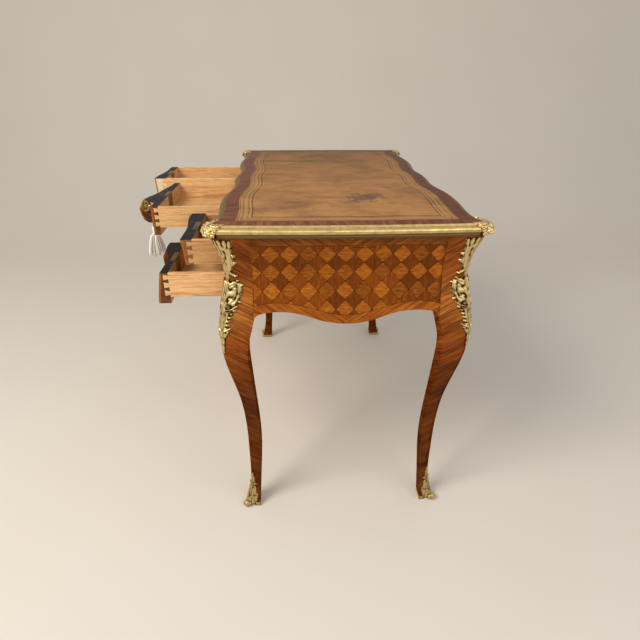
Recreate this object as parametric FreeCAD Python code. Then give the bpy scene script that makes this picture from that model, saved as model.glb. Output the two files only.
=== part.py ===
import FreeCAD, Part
import math
import os
from FreeCAD import Vector

os.makedirs("parts", exist_ok=True)

# A serpentine writing table in the manner of the mid eighteenth century: a leather-lined top with
# a brass edge, five drawers round a kneehole, and four cabriole legs with gilt mounts.
# Lengths are in millimetres. X runs along the table, the drawers open towards -Y, Z is up, and
# the origin is on the floor under the middle of the top.

# Overall sizes
table_height = 770.0
top_thickness = 25.0
fit_gap = 1.5
seat_gap = 0.3

# Top board: crests and hollows of the wooden edge along the front and back, from the middle out
board_half_length_middle = 500.0
board_half_depth_centre = 260.0
board_notch_dip = 6.5
board_bulge_rise = 7.5
board_cove_dip = 2.0
board_flare_rise = 15.5
board_notch_place_share = 0.20
board_bulge_place_share = 0.51
board_cove_inset = 75.0
board_flare_inset = 25.0
board_corner_radius = 11.0

# Leather panel let into the top, each size measured in from the edge of the board
banding_width = 29.0
banding_end_width = 30.0
leather_flare_rise = 1.0
leather_flare_inset = 13.0
leather_corner_radius = 3.0
leather_thickness = 1.6

# Brass edge moulding, seen in section as shares of its width outwards and of its height
moulding_width = 14.0
moulding_section_shares = [
    (0.0, 0.0),
    (0.0, 1.0),
    (0.15, 1.0),
    (0.28, 0.93),
    (0.45, 0.90),
    (0.52, 0.79),
    (0.83, 0.69),
    (1.0, 0.44),
    (0.96, 0.20),
    (0.70, 0.0),
]

# Brass clasps on the corners of the top, in section as shares of their width and height
clasp_width = 23.0
clasp_height = 27.0
clasp_arm_length = 23.0
clasp_side_length = 29.5
clasp_flute_depth = 2.6
clasp_step_length = 7.0
clasp_section_shares = [
    (0.0, 0.0),
    (0.45, 0.0),
    (0.85, 0.18),
    (1.0, 0.46),
    (0.86, 0.76),
    (0.42, 1.0),
    (-0.22, 1.0),
]

# Cabriole legs: the ridge is the outer corner line of the leg
leg_end_inset = 30.0
leg_front_inset = 24.0
knee_throw = 38.0
front_flare = 21.0
side_flare = 12.0
post_depth = 36.0
knee_depth = 19.5
calf_depth = 32.5
ankle_depth = 27.5
foot_depth = 22.0
ridge_cant = 11.0
leg_foot_height = 10.0

# Bend of the leg's inner line, and heights of its turns as shares of the height of the spring
spring_bend_share = 0.42
leg_knee_share = 0.872
leg_shin_share = 0.780
leg_middle_share = 0.595
leg_calf_share = 0.344
leg_ankle_share = 0.159

# Height, share of the knee throw and share of the flare at points down the ridge
ridge_shares = [
    (1.000, 0.49, 1.00),
    (0.960, 0.49, 0.50),
    (0.926, 0.49, 0.14),
    (0.895, 0.49, 0.00),
    (0.859, 0.56, 0.00),
    (0.805, 0.76, 0.00),
    (0.752, 0.93, 0.00),
    (0.698, 1.00, 0.00),
    (0.644, 0.97, 0.00),
    (0.591, 0.82, 0.00),
    (0.523, 0.55, 0.00),
    (0.456, 0.29, 0.00),
    (0.376, 0.10, 0.00),
    (0.289, 0.01, 0.00),
    (0.188, -0.01, 0.00),
    (0.074, 0.05, 0.00),
    (0.000, 0.36, 0.00),
]

# Gilt mounts of the legs
chute_thickness = 4.5
chute_half_width = 28.0
chute_height = 252.0
chute_drop = 3.0
# Each lobe runs from the one before through a middle point to an end point, as shares of the
# mount's half width and of its height measured down from the top
chute_start_shares = (0.93, 0.0)
chute_lobe_shares = [
    ((0.88, 0.06), (0.64, 0.13)),
    ((0.95, 0.17), (0.50, 0.24)),
    ((0.42, 0.28), (0.38, 0.32)),
    ((0.80, 0.345), (0.34, 0.37)),
    ((0.42, 0.395), (0.62, 0.415)),
    ((1.00, 0.455), (0.80, 0.50)),
    ((1.00, 0.54), (0.78, 0.585)),
    ((0.86, 0.62), (0.56, 0.655)),
    ((0.60, 0.69), (0.42, 0.73)),
    ((0.52, 0.78), (0.34, 0.84)),
    ((0.30, 0.91), (0.0, 1.0)),
]
sabot_thickness = 2.6
sabot_height = 100.0
sabot_half_width = 17.0
sabot_toe_radius = 10.0
sabot_toe_reach = 2.0
ball_band_count = 4
ball_flute_count = 12
sabot_start_shares = (1.0, 1.0)
sabot_lobe_shares = [
    ((1.10, 0.80), (0.70, 0.62)),
    ((0.66, 0.52), (0.42, 0.42)),
    ((0.74, 0.37), (0.36, 0.31)),
    ((0.34, 0.16), (0.0, 0.0)),
]

# End panels
apron_crest_place_share = 0.75
apron_bend_place_share = 0.935
apron_bend_rise_share = 0.84
apron_spring_rise_share = 0.39
apron_rise = 28.5
apron_drop = 215.0

# Drawer openings, from the top down and from the middle out
drawer_top_drop = 48.0
upper_drawer_height = 55.0
drawer_parting = 19.0
lower_drawer_height = 56.0
drawer_apron = 15.0
centre_drawer_apron = 20.0
centre_opening_half = 151.5
divider_width = 66.0
partition_thickness = 20.0
rail_depth = 22.0

# Plan of the closed fronts, each place measured out from the ridge of the ankles
pedestal_front_back_reach = 2.0
centre_front_back_setback = 9.0
leg_side_top_reach = 26.0
leg_side_waist_reach = 19.5
leg_side_low_reach = 29.0
kneehole_top_reach = 38.0
kneehole_waist_reach = 34.0
kneehole_rim_reach = 42.0
kneehole_belly_reach = 54.0
kneehole_tuck_reach = 50.0
kneehole_foot_reach = 26.0
centre_middle_reach = 26.0
centre_end_reach = 8.5
divider_reach = 11.0
rail_setback = 2.0

# Places of the crest and the foot of a front's swell, as shares of the way from the kneehole to
# the leg, and how much of the swell is there at the kneehole
crest_place_share = 0.09
swell_foot_place_share = 0.68
kneehole_swell_share = 0.94

# Heights of the bombe lower front, and the swell of its leg end at each
lower_front_height_shares = (0.0, 0.13, 0.36, 0.68, 1.0)
lower_front_leg_shares = (1.0, 1.0, 0.75, 0.35, 0.0)

# Drawer boxes
side_thickness = 10.0
back_thickness = 9.0
bottom_thickness = 6.0
bottom_groove_height = 5.0
bottom_groove_depth = 4.0
drawer_back_clearance = 21.0
dovetail_pin_count = 3
dovetail_reach = 11.0
dovetail_slope_share = 0.22
dovetail_width_share = 0.36

# How far each drawer stands open, and how far each one can be drawn
open_right_upper = 89.0
open_right_lower = 148.0
open_centre = 236.0
open_left_upper = 286.0
open_left_lower = 334.0

# Locks and the key
lock_half_width = 24.0
lock_depth = 6.0
lock_height = 43.0
lock_wall = 1.0
lock_plate_half_width = 31.0
lock_plate_thickness = 2.5
lock_plate_depth = 12.0
lock_axis_drop = 34.0
key_shank_radius = 3.0
key_clearance = 0.3
key_bow_half_width = 12.0
key_bow_half_height = 16.0
key_bow_rim = 3.2
key_bow_thickness = 4.0
key_bow_hub_radius = 4.2
key_bow_facet_count = 24
key_spoke_count = 6
key_spoke_width = 2.2
key_bow_reach = 39.5
key_bit_length = 4.8
key_bit_width = 2.8
key_bit_thickness = 2.2

# Tassel on the key
tassel_reach = 23.6
tassel_cord_radius = 1.3
tassel_cord_drop = 60.0
cord_strand_count = 8
tassel_head_radius = 7.5
tassel_neck_radius = 4.6
tassel_head_height = 15.0
tassel_length = 88.0
tassel_skirt_radius = 27.0
tassel_shoulder_radius = 14.0
tassel_flank_share = 0.88
tassel_flute_count = 28

# Runners, guides and kickers
board_thickness = 14.0
guide_height = 22.0
guide_width = 34.0
kicker_width = 18.0

# Worked out from the sizes above
top_underside = table_height - top_thickness
leg_length = top_underside - leg_foot_height
moulding_height = top_thickness
overrun = table_height
root_two = math.sqrt(2.0)

board_half_depth_notch = board_half_depth_centre - board_notch_dip
board_half_depth_bulge = board_half_depth_centre + board_bulge_rise
board_half_depth_cove = board_half_depth_centre - board_cove_dip
board_half_depth_flare = board_half_depth_centre + board_flare_rise
board_notch_place = board_half_length_middle * board_notch_place_share
board_bulge_place = board_half_length_middle * board_bulge_place_share
board_cove_place = board_half_length_middle - board_cove_inset
board_flare_place = board_half_length_middle - board_flare_inset
leather_flare_place = board_flare_place - leather_flare_inset
moulding_end_place = board_flare_place - clasp_arm_length
moulding_side_end_place = board_half_depth_flare - clasp_side_length

ankle_ridge_half_depth = board_half_depth_centre - leg_front_inset
leg_spread_difference = board_half_length_middle - leg_end_inset - ankle_ridge_half_depth
post_inner_half_depth = ankle_ridge_half_depth - post_depth
knee_inner_half_depth = ankle_ridge_half_depth - knee_depth
calf_inner_half_depth = ankle_ridge_half_depth - calf_depth
ankle_inner_half_depth = ankle_ridge_half_depth - ankle_depth
foot_inner_half_depth = ankle_ridge_half_depth - foot_depth
post_inner_half_length = post_inner_half_depth + leg_spread_difference
end_panel_inner_half_length = post_inner_half_length + guide_width
pedestal_inner = centre_opening_half + divider_width

apron_low_height = table_height - apron_drop
upper_drawer_top = table_height - drawer_top_drop
upper_drawer_bottom = upper_drawer_top - upper_drawer_height
lower_drawer_top = upper_drawer_bottom - drawer_parting
lower_drawer_bottom = lower_drawer_top - lower_drawer_height
drawer_head = upper_drawer_top + fit_gap

carcass_half_depth = ankle_ridge_half_depth
pedestal_front_back_face = carcass_half_depth + pedestal_front_back_reach
centre_front_back_face = carcass_half_depth - centre_front_back_setback
leg_side_front_top = carcass_half_depth + leg_side_top_reach
leg_side_front_waist = carcass_half_depth + leg_side_waist_reach
leg_side_front_low = carcass_half_depth + leg_side_low_reach
kneehole_front_top = carcass_half_depth + kneehole_top_reach
kneehole_front_waist = carcass_half_depth + kneehole_waist_reach
kneehole_front_rim = carcass_half_depth + kneehole_rim_reach
kneehole_front_belly = carcass_half_depth + kneehole_belly_reach
kneehole_front_tuck = carcass_half_depth + kneehole_tuck_reach
kneehole_front_foot = carcass_half_depth + kneehole_foot_reach
centre_front_middle = carcass_half_depth + centre_middle_reach
centre_front_end = carcass_half_depth + centre_end_reach
divider_half_depth = carcass_half_depth + divider_reach
drawer_back_face = carcass_half_depth - drawer_back_clearance

key_height = upper_drawer_top - lock_axis_drop
key_bow_centre = centre_front_middle + key_bow_reach
lock_back = centre_front_back_face + lock_wall
tassel_place = centre_front_middle + tassel_reach
tassel_head_top = key_height - tassel_cord_drop
tassel_skirt_bottom = tassel_head_top - tassel_length


def spline(points, start=None, end=None):
    curve = Part.BSplineCurve()
    if start is None:
        curve.interpolate(points)
    else:
        curve.interpolate(Points=points, InitialTangent=start, FinalTangent=end)
    return curve.toShape()


def line(first, second):
    return Part.makeLine(first, second)


def box(low, high):
    size = high - low
    return Part.makeBox(size.x, size.y, size.z, low)


def prism(edges, direction):
    return Part.Face(Part.Wire(edges)).extrude(direction)


def loft(wires):
    return Part.makeLoft(wires, True, True)


def mirrored_x(shape):
    return shape.mirror(Vector(0, 0, 0), Vector(1, 0, 0))


def mirrored_y(shape):
    return shape.mirror(Vector(0, 0, 0), Vector(0, 1, 0))


def fluted(levels, count):
    """A solid round the Z axis with flat flutes, through (radius, height) levels."""
    rings = []
    for radius, height in levels:
        corners = []
        for index in range(count + 1):
            angle = 2.0 * math.pi * (index % count) / count
            corners.append(Vector(radius * math.cos(angle), radius * math.sin(angle), height))
        rings.append(corners)
    faces = [Part.Face(Part.makePolygon(rings[0])), Part.Face(Part.makePolygon(rings[-1]))]
    for low, high in zip(rings, rings[1:]):
        for index in range(count):
            corners = [low[index], low[index + 1], high[index + 1], high[index], low[index]]
            faces.append(Part.Face(Part.makePolygon(corners)))
    return Part.Solid(Part.makeShell(faces))


def save(shape, name):
    shape.exportStep("parts/" + name + ".step")


# Outline of the top, at any level

def tangent_arc(start, heading, finish):
    """Arc that leaves start along heading and ends at finish."""
    chord = finish - start
    turn = heading.getAngle(chord)
    side = heading - chord * (heading.dot(chord) / chord.dot(chord))
    rise = chord.Length * 0.5 * math.tan(turn * 0.5)
    middle = start + chord * 0.5 + side.normalize() * rise
    return Part.Arc(start, middle, finish).toShape()


def end_heading(arc, start, heading):
    """Direction in which an arc that left start along heading arrives."""
    finish = arc.valueAt(arc.LastParameter)
    if (finish - start).Length < (arc.valueAt(arc.FirstParameter) - start).Length:
        finish = arc.valueAt(arc.FirstParameter)
    chord = (finish - start).normalize()
    return chord * (2.0 * heading.dot(chord)) - heading


def serpentine(places, flare, height):
    """Arcs from the middle to the flared corner, level at each crest and hollow."""
    level = Vector(1, 0, 0)
    arcs = []
    for first, second in zip(places, places[1:]):
        start = Vector(first[0], -first[1], height)
        finish = Vector(second[0], -second[1], height)
        middle = (start + finish) * 0.5
        arcs.append(tangent_arc(start, level, middle))
        arcs.append(tangent_arc(finish, level * -1.0, middle))
    start = Vector(places[-1][0], -places[-1][1], height)
    arcs.append(tangent_arc(start, level, Vector(flare[0], -flare[1], height)))
    return arcs


def outline(places, flare, corner_radius, half_middle, height):
    """Arcs of the corner +X, -Y: along the front, round the corner, and along the end."""
    front = serpentine(places, flare, height)
    hollow = Vector(places[-1][0], -places[-1][1], height)
    tip = Vector(flare[0], -flare[1], height)
    heading = end_heading(front[-1], hollow, Vector(1, 0, 0))
    centre = tip + Vector(-heading.y, heading.x, 0) * corner_radius
    corner_end = centre + Vector(corner_radius, 0, 0)
    corner = tangent_arc(tip, heading, corner_end)
    end = Part.Arc(corner_end, Vector(half_middle, 0, height),
                   Vector(corner_end.x, -corner_end.y, height)).toShape()
    return front, corner, end


def closed_outline(parts):
    front, corner, end = parts
    quarter = front + [corner]
    half = quarter + [mirrored_y(edge) for edge in quarter] + [end]
    loop = half + [mirrored_x(edge) for edge in half]
    return Part.Wire(Part.__sortEdges__(loop))


def board_outline(height):
    places = [
        (0, board_half_depth_centre),
        (board_notch_place, board_half_depth_notch),
        (board_bulge_place, board_half_depth_bulge),
        (board_cove_place, board_half_depth_cove),
    ]
    return outline(places, (board_flare_place, board_half_depth_flare), board_corner_radius,
                   board_half_length_middle, height)


def leather_outline(height):
    places = [
        (0, board_half_depth_centre - banding_width),
        (board_notch_place, board_half_depth_notch - banding_width),
        (board_bulge_place, board_half_depth_bulge - banding_width),
        (board_cove_place, board_half_depth_cove - banding_width),
    ]
    flare = (leather_flare_place, board_half_depth_cove - banding_width + leather_flare_rise)
    return outline(places, flare, leather_corner_radius,
                   board_half_length_middle - banding_end_width, height)


def make_top():
    board = Part.Face(closed_outline(board_outline(top_underside)))
    board = board.extrude(Vector(0, 0, top_thickness))
    leather = Part.Face(closed_outline(leather_outline(table_height - leather_thickness)))
    leather = leather.extrude(Vector(0, 0, leather_thickness))
    save(board.cut(leather), "top_board")
    save(leather, "top_leather")


def outward(arc, at):
    """Level direction out of the board at one place of an arc of its edge."""
    centre = arc.Curve.Center
    middle = arc.valueAt((arc.FirstParameter + arc.LastParameter) * 0.5)
    normal = (at - centre).normalize()
    if centre.y * middle.y > middle.y * middle.y:
        normal = normal * -1.0
    return normal


# Brass moulding round the top, turned about the centre of each arc of the edge

def turned_about(arc, section_shares, width, height):
    """The section carried along one arc of the edge, outside the board."""
    curve = arc.Curve
    start = arc.valueAt(arc.FirstParameter)
    span = arc.LastParameter - arc.FirstParameter
    normal = outward(arc, start)
    corners = [start + normal * (width * out) + Vector(0, 0, height * up)
               for out, up in section_shares]
    face = Part.Face(Part.makePolygon(corners + [corners[0]]))
    return face.revolve(curve.Center, curve.Axis, math.degrees(span))


def rail_along(arcs):
    """One length of moulding along several arcs."""
    pieces = [turned_about(arc, moulding_section_shares, moulding_width, moulding_height)
              for arc in arcs]
    rail = pieces[0]
    for piece in pieces[1:]:
        rail = rail.fuse(piece)
    return rail.removeSplitter()


def arm_joint(arm):
    """Where the moulding along the front meets the clasp of the corner +X, -Y."""
    reach = moulding_end_place - board_cove_place
    drop = arm.Curve.Radius - math.sqrt(arm.Curve.Radius ** 2 - reach ** 2)
    return Vector(moulding_end_place, -board_half_depth_cove - drop, top_underside)


def side_joint(end):
    """Where the moulding along the end meets the same clasp."""
    centre = end.Curve.Center
    reach = math.sqrt(end.Curve.Radius ** 2 - moulding_side_end_place ** 2)
    return Vector(centre.x + reach, -moulding_side_end_place, top_underside)


def make_mouldings():
    front, corner, end = board_outline(top_underside)
    cove = Vector(board_cove_place, -board_half_depth_cove, top_underside)
    arcs = front[:-1] + [tangent_arc(cove, Vector(1, 0, 0), arm_joint(front[-1]))]
    front_rail = rail_along(arcs + [mirrored_x(arc) for arc in arcs])
    joint = side_joint(end)
    side = Part.Arc(joint, Vector(board_half_length_middle, 0, top_underside),
                    Vector(joint.x, -joint.y, top_underside))
    side_rail = rail_along([side.toShape()])
    pieces = [front_rail, mirrored_y(front_rail), side_rail, mirrored_x(side_rail)]
    save(Part.makeCompound(pieces), "edge_mouldings")


def stations(edge, start, finish):
    """Places along an edge between two of its points, with outward normals."""
    curve = edge.Curve
    first = curve.parameter(start)
    span = curve.parameter(finish) - first
    if span > math.pi:
        span -= math.pi * 2.0
    if span < -math.pi:
        span += math.pi * 2.0
    steps = max(1, round((finish - start).Length / clasp_step_length))
    spots = []
    for index in range(steps + 1):
        at = curve.value(first + span * index / steps)
        spots.append((at, outward(edge, at)))
    return spots


def clasp():
    """A fluted clasp that wraps one corner of the board, lofted from section to section."""
    front, corner, end = board_outline(top_underside)
    tip = Vector(board_flare_place, -board_half_depth_flare, top_underside)
    corner_end = end.valueAt(end.FirstParameter)
    if corner_end.y > 0:
        corner_end = end.valueAt(end.LastParameter)
    spots = stations(front[-1], arm_joint(front[-1]), tip)
    spots += stations(corner, tip, corner_end)[1:]
    spots += stations(end, corner_end, side_joint(end))[1:]
    wires = []
    last = len(spots) - 1
    for index, (at, normal) in enumerate(spots):
        swell = math.sqrt(math.sin(math.pi * index / last)) if 0 < index < last else 0
        width = moulding_width + (clasp_width - moulding_width) * swell
        if index % 2:
            width -= clasp_flute_depth
        height = top_thickness + (clasp_height - top_thickness) * (swell * 0.5 + 0.5)
        corners = [at + normal * (width * out) + Vector(0, 0, height * up)
                   for out, up in clasp_section_shares]
        lip = Vector(0, 0, top_thickness)
        corners.append(at + normal * (width * clasp_section_shares[-1][0]) + lip)
        corners.append(at + lip)
        wires.append(Part.makePolygon(corners + [corners[0]]))
    board = Part.Face(closed_outline(board_outline(top_underside)))
    return Part.makeLoft(wires, True, True).cut(board.extrude(Vector(0, 0, top_thickness)))


def make_clasps():
    one = clasp()
    pieces = [one, mirrored_x(one), mirrored_y(one), mirrored_x(mirrored_y(one))]
    save(Part.makeCompound(pieces), "corner_mounts")


# Cabriole leg in the corner +X, +Y, from profiles sawn on two faces and a canted ridge

def ridge_curve(flare_size, grow):
    """Places of the ridge as (distance out, height), the ankle's ridge being the zero."""
    places = []
    for height, throw, flare in ridge_shares:
        out = ankle_ridge_half_depth + knee_throw * throw + flare_size * flare + grow
        places.append((out, leg_level(height)))
    return places


def leg_level(share):
    return leg_foot_height + leg_length * share


def inner_curve():
    """Inner line of the leg as (distance out, height), from the apron's spring down."""
    spring = apron_low_height + apron_rise * apron_spring_rise_share
    climb = spring - leg_foot_height
    bend = post_inner_half_depth + (knee_inner_half_depth - post_inner_half_depth) * spring_bend_share
    middle = (knee_inner_half_depth + calf_inner_half_depth) * 0.5
    return [
        (post_inner_half_depth, spring),
        (bend, spring - apron_rise),
        (knee_inner_half_depth, leg_foot_height + climb * leg_knee_share),
        (knee_inner_half_depth, leg_foot_height + climb * leg_shin_share),
        (middle, leg_foot_height + climb * leg_middle_share),
        (calf_inner_half_depth, leg_foot_height + climb * leg_calf_share),
        (ankle_inner_half_depth, leg_foot_height + climb * leg_ankle_share),
        (foot_inner_half_depth, leg_foot_height),
    ]


def leg_profile(place, flare_size, grow, direction):
    """Side view of the leg, laid by place(out, up) and pushed along direction."""
    outer = [place(out, up) for out, up in ridge_curve(flare_size, grow)]
    inner = [place(out, up) for out, up in inner_curve()]
    head = place(post_inner_half_depth, top_underside)
    edges = [
        spline(outer),
        line(outer[-1], inner[-1]),
        spline(list(reversed(inner))),
        line(inner[0], head),
        line(head, outer[0]),
    ]
    return prism(edges, direction)


def leg_solid(grow=0.0):
    far = overrun

    def in_depth(out, up):
        return Vector(0, out, up)

    def in_length(out, up):
        return Vector(out + leg_spread_difference, 0, up)

    depth_view = leg_profile(in_depth, front_flare, grow, Vector(far, 0, 0))
    length_view = leg_profile(in_length, side_flare, grow, Vector(0, far, 0))
    leg = depth_view.common(length_view)
    centre = Vector(leg_spread_difference, 0, 0)
    diagonal = Vector(1, 1, 0) / root_two
    across = Vector(1, -1, 0) / root_two
    corner = []
    for height, throw, flare in ridge_shares:
        front_out = ankle_ridge_half_depth + knee_throw * throw + front_flare * flare
        side_out = ankle_ridge_half_depth + knee_throw * throw + side_flare * flare
        reach = (front_out + side_out - ridge_cant) / root_two + grow
        up = Vector(0, 0, leg_level(height))
        corner.append(centre + diagonal * reach + up)
    inner_top = centre + Vector(0, 0, corner[0].z)
    inner_low = centre + Vector(0, 0, corner[-1].z)
    edges = [
        spline(corner),
        line(corner[-1], inner_low),
        line(inner_low, inner_top),
        line(inner_top, corner[0]),
    ]
    face = Part.Face(Part.Wire(edges))
    face.translate(across * -far)
    canted = face.extrude(across * (far * 2.0))
    return leg.common(canted)


def lobed_outline(start, lobes, half_width, height, low, direction_up):
    """Prism through the ridge whose edge is a row of pointed lobes, alike on both sides."""
    diagonal = Vector(1, 1, 0) / root_two
    across = Vector(1, -1, 0) / root_two
    centre = Vector(leg_spread_difference, 0, 0)

    def at(wide, down, side):
        if direction_up:
            up = low + height * down
        else:
            up = low - height * down
        return centre + across * (half_width * wide * side) + Vector(0, 0, up)

    shares = [start]
    for middle, end in lobes:
        shares += [middle, end]
    right = [at(wide, down, 1.0) for wide, down in shares]
    left = [at(wide, down, -1.0) for wide, down in reversed(shares[:-1])]
    wire = Part.makePolygon(right + left + [right[0]])
    return Part.Face(wire).extrude(diagonal * overrun)


def chute(leg):
    shell = leg_solid(chute_thickness).cut(leg)
    outline = lobed_outline(chute_start_shares, chute_lobe_shares, chute_half_width,
                            chute_height, top_underside - chute_drop, False)
    return shell.common(outline)


def chased_ball(radius, centre):
    """A ball in flat bands and flutes, as the toe of a shoe is chased."""
    levels = []
    for index in range(ball_band_count + 1):
        angle = math.pi * (index + 0.5) / (ball_band_count + 1)
        levels.append((radius * math.sin(angle), centre.z - radius * math.cos(angle)))
    levels[0] = (levels[0][0], centre.z - radius)
    ball = fluted(levels, ball_flute_count)
    ball.translate(Vector(centre.x, centre.y, 0))
    return ball


def sabot(leg):
    shell = leg_solid(sabot_thickness).cut(leg)
    turned = [((m[0], 1.0 - m[1]), (e[0], 1.0 - e[1])) for m, e in sabot_lobe_shares]
    start = (sabot_start_shares[0], 1.0 - sabot_start_shares[1])
    outline = lobed_outline(start, turned, sabot_half_width, sabot_height - leg_foot_height,
                            leg_foot_height, True)
    leaf = shell.common(outline)
    foot_out = ankle_ridge_half_depth + knee_throw * ridge_shares[-1][1] + sabot_thickness
    low = Vector(foot_inner_half_depth + leg_spread_difference, foot_inner_half_depth, 0)
    high = Vector(foot_out + leg_spread_difference, foot_out, leg_foot_height)
    sole = box(low, high)
    toe_middle = foot_out - sabot_toe_radius * 0.5 + sabot_toe_reach
    toe = chased_ball(sabot_toe_radius,
                      Vector(toe_middle + leg_spread_difference, toe_middle, sabot_toe_radius))
    heel = Part.makeCylinder(high.y - low.y, overrun, Vector(low.x, low.y, -overrun * 0.5))
    shoe = sole.common(heel).fuse(toe).cut(leg)
    return shoe.fuse(leaf)


def corner_copies(shape):
    """The piece at +X +Y and its copies at the other three corners."""
    return {
        "back_right": shape,
        "back_left": mirrored_x(shape),
        "front_right": mirrored_y(shape),
        "front_left": mirrored_x(mirrored_y(shape)),
    }


def make_legs():
    leg = leg_solid()
    pieces = {"leg": leg, "knee_mount": chute(leg), "sabot": sabot(leg)}
    for name, shape in pieces.items():
        for corner, copy in corner_copies(shape).items():
            save(copy, name + "_" + corner)


# End panels with a serpentine apron

def apron_arcs():
    """Lower edge of an end panel from its middle to the leg: a drop, a crest and a spring."""
    level = Vector(0, 1, 0)

    def at(place, rise):
        return Vector(0, post_inner_half_depth * place, apron_low_height + apron_rise * rise)

    low = at(0, 0)
    crest = at(apron_crest_place_share, 1)
    bend = at(apron_bend_place_share, apron_bend_rise_share)
    middle = (low + crest) * 0.5
    shoulder = tangent_arc(crest, level, bend)
    heading = end_heading(shoulder, crest, level)
    return [tangent_arc(low, level, middle), tangent_arc(crest, level * -1.0, middle), shoulder,
            tangent_arc(bend, heading, at(1, apron_spring_rise_share))]


def make_end_panels():
    outer = []
    for height, throw, flare in ridge_shares:
        up = leg_level(height)
        if up < apron_low_height - apron_rise * 2.0:
            break
        out = ankle_ridge_half_depth + knee_throw * throw + side_flare * flare
        outer.append(Vector(out + leg_spread_difference, -post_inner_half_depth, up))
    inner_top = Vector(end_panel_inner_half_length, -post_inner_half_depth, outer[0].z)
    inner_low = Vector(end_panel_inner_half_length, -post_inner_half_depth, outer[-1].z)
    edges = [spline(outer), line(outer[-1], inner_low), line(inner_low, inner_top),
             line(inner_top, outer[0])]
    slab = prism(edges, Vector(0, post_inner_half_depth * 2.0, 0))
    half = apron_arcs()
    spring = Vector(0, post_inner_half_depth, apron_low_height + apron_rise * apron_spring_rise_share)
    top = Vector(0, post_inner_half_depth, top_underside)
    loop = half + [mirrored_y(edge) for edge in half]
    loop += [line(spring, top), line(top, Vector(0, -top.y, top.z)),
             line(Vector(0, -top.y, top.z), Vector(0, -spring.y, spring.z))]
    panel = slab.common(prism(Part.__sortEdges__(loop), Vector(overrun, 0, 0)))
    save(panel, "end_panel_right")
    save(mirrored_x(panel), "end_panel_left")


# Serpentine fronts: plan sections at several heights joined by a loft

def swell_arcs(inner, outer, kneehole_depth, leg_depth, height):
    """Face of a front in plan: up to its crest, down in an S, then straight to the leg."""
    level = Vector(1, 0, 0)
    width = outer - inner
    rim = leg_depth + (kneehole_depth - leg_depth) * kneehole_swell_share
    near = Vector(inner, -rim, height)
    crest = Vector(inner + width * crest_place_share, -kneehole_depth, height)
    foot = Vector(inner + width * swell_foot_place_share, -leg_depth, height)
    middle = (crest + foot) * 0.5
    return [
        tangent_arc(crest, level * -1.0, near),
        tangent_arc(crest, level, middle),
        tangent_arc(foot, level * -1.0, middle),
        line(foot, Vector(outer, -leg_depth, height)),
    ]


def front_section(inner, outer, kneehole_depth, leg_depth, back_face, height):
    """Plan of a pedestal front between two X places, with its face towards -Y."""
    face = swell_arcs(inner, outer, kneehole_depth, leg_depth, height)
    rim = leg_depth + (kneehole_depth - leg_depth) * kneehole_swell_share
    near = Vector(inner, -rim, height)
    far = Vector(outer, -leg_depth, height)
    low = Vector(inner, -back_face, height)
    high = Vector(outer, -back_face, height)
    return Part.Wire(face + [line(far, high), line(high, low), line(low, near)])


def slope_arcs(start, finish):
    """Two equal arcs from start to finish, level in plan at both."""
    level = Vector(1, 0, 0)
    middle = (start + finish) * 0.5
    return [tangent_arc(start, level, middle), tangent_arc(finish, level * -1.0, middle)]


def centre_arcs(half_width, setback, height):
    """Face of the centre front in plan, from its middle to its right end."""
    return slope_arcs(Vector(0, -centre_front_middle + setback, height),
                      Vector(half_width, -centre_front_end + setback, height))


def divider_arcs(depth, setback, height):
    """Face between the centre drawer's opening and a pedestal, in plan."""
    return slope_arcs(Vector(centre_opening_half, -centre_front_end + setback, height),
                      Vector(pedestal_inner, -depth, height))


def centre_front(top, bottom):
    half = centre_opening_half - fit_gap
    right = centre_arcs(half, 0, bottom)
    low = Vector(-half, -centre_front_back_face, bottom)
    high = Vector(half, -centre_front_back_face, bottom)
    far = Vector(half, -centre_front_end, bottom)
    near = Vector(-half, -centre_front_end, bottom)
    loop = right + [mirrored_x(edge) for edge in right]
    loop += [line(far, high), line(high, low), line(low, near)]
    return prism(Part.__sortEdges__(loop), Vector(0, 0, top - bottom))


def upper_front(inner, outer, top, bottom):
    middle = (top + bottom) * 0.5
    kneehole_middle = (kneehole_front_top + kneehole_front_waist) * 0.5
    leg_middle = (leg_side_front_top + leg_side_front_waist * 2.0) / 3.0
    return loft([
        front_section(inner, outer, kneehole_front_waist, leg_side_front_waist,
                      pedestal_front_back_face, bottom),
        front_section(inner, outer, kneehole_middle, leg_middle,
                      pedestal_front_back_face, middle),
        front_section(inner, outer, kneehole_front_top, leg_side_front_top,
                      pedestal_front_back_face, top),
    ])


def lower_front(inner, outer, top, bottom):
    """Flat at the leg, and swelling to a bombe rim and belly at the kneehole."""
    neck = (kneehole_front_foot + kneehole_front_tuck * 2.0) / 3.0
    kneehole_depths = (kneehole_front_foot, neck, kneehole_front_tuck, kneehole_front_belly,
                       kneehole_front_rim)
    leg_rise = leg_side_front_low - leg_side_front_waist
    wires = []
    for share, depth, rise in zip(lower_front_height_shares, kneehole_depths,
                                  lower_front_leg_shares):
        wires.append(front_section(inner, outer, depth, leg_side_front_waist + leg_rise * rise,
                                   pedestal_front_back_face, bottom + (top - bottom) * share))
    return loft(wires)


# Drawers: a thick shaped front, two sides, a back and a bottom, with a lock

def dovetails(x_face, inwards, front_back, low, high, count):
    """Tails of one side, as a comb that runs into the front."""
    tails = []
    pitch = (high - low) / count
    for index in range(count):
        middle = low + pitch * (index + 0.5)
        half_wide = pitch * dovetail_width_share
        half_thin = half_wide - dovetail_reach * dovetail_slope_share
        x_far = x_face + inwards * side_thickness
        points = [
            Vector(x_face, -front_back, middle - half_thin),
            Vector(x_face, -front_back - dovetail_reach, middle - half_wide),
            Vector(x_face, -front_back - dovetail_reach, middle + half_wide),
            Vector(x_face, -front_back, middle + half_thin),
        ]
        face = Part.Face(Part.makePolygon(points + [points[0]]))
        tails.append(face.extrude(Vector(x_far - x_face, 0, 0)))
    return tails


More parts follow.
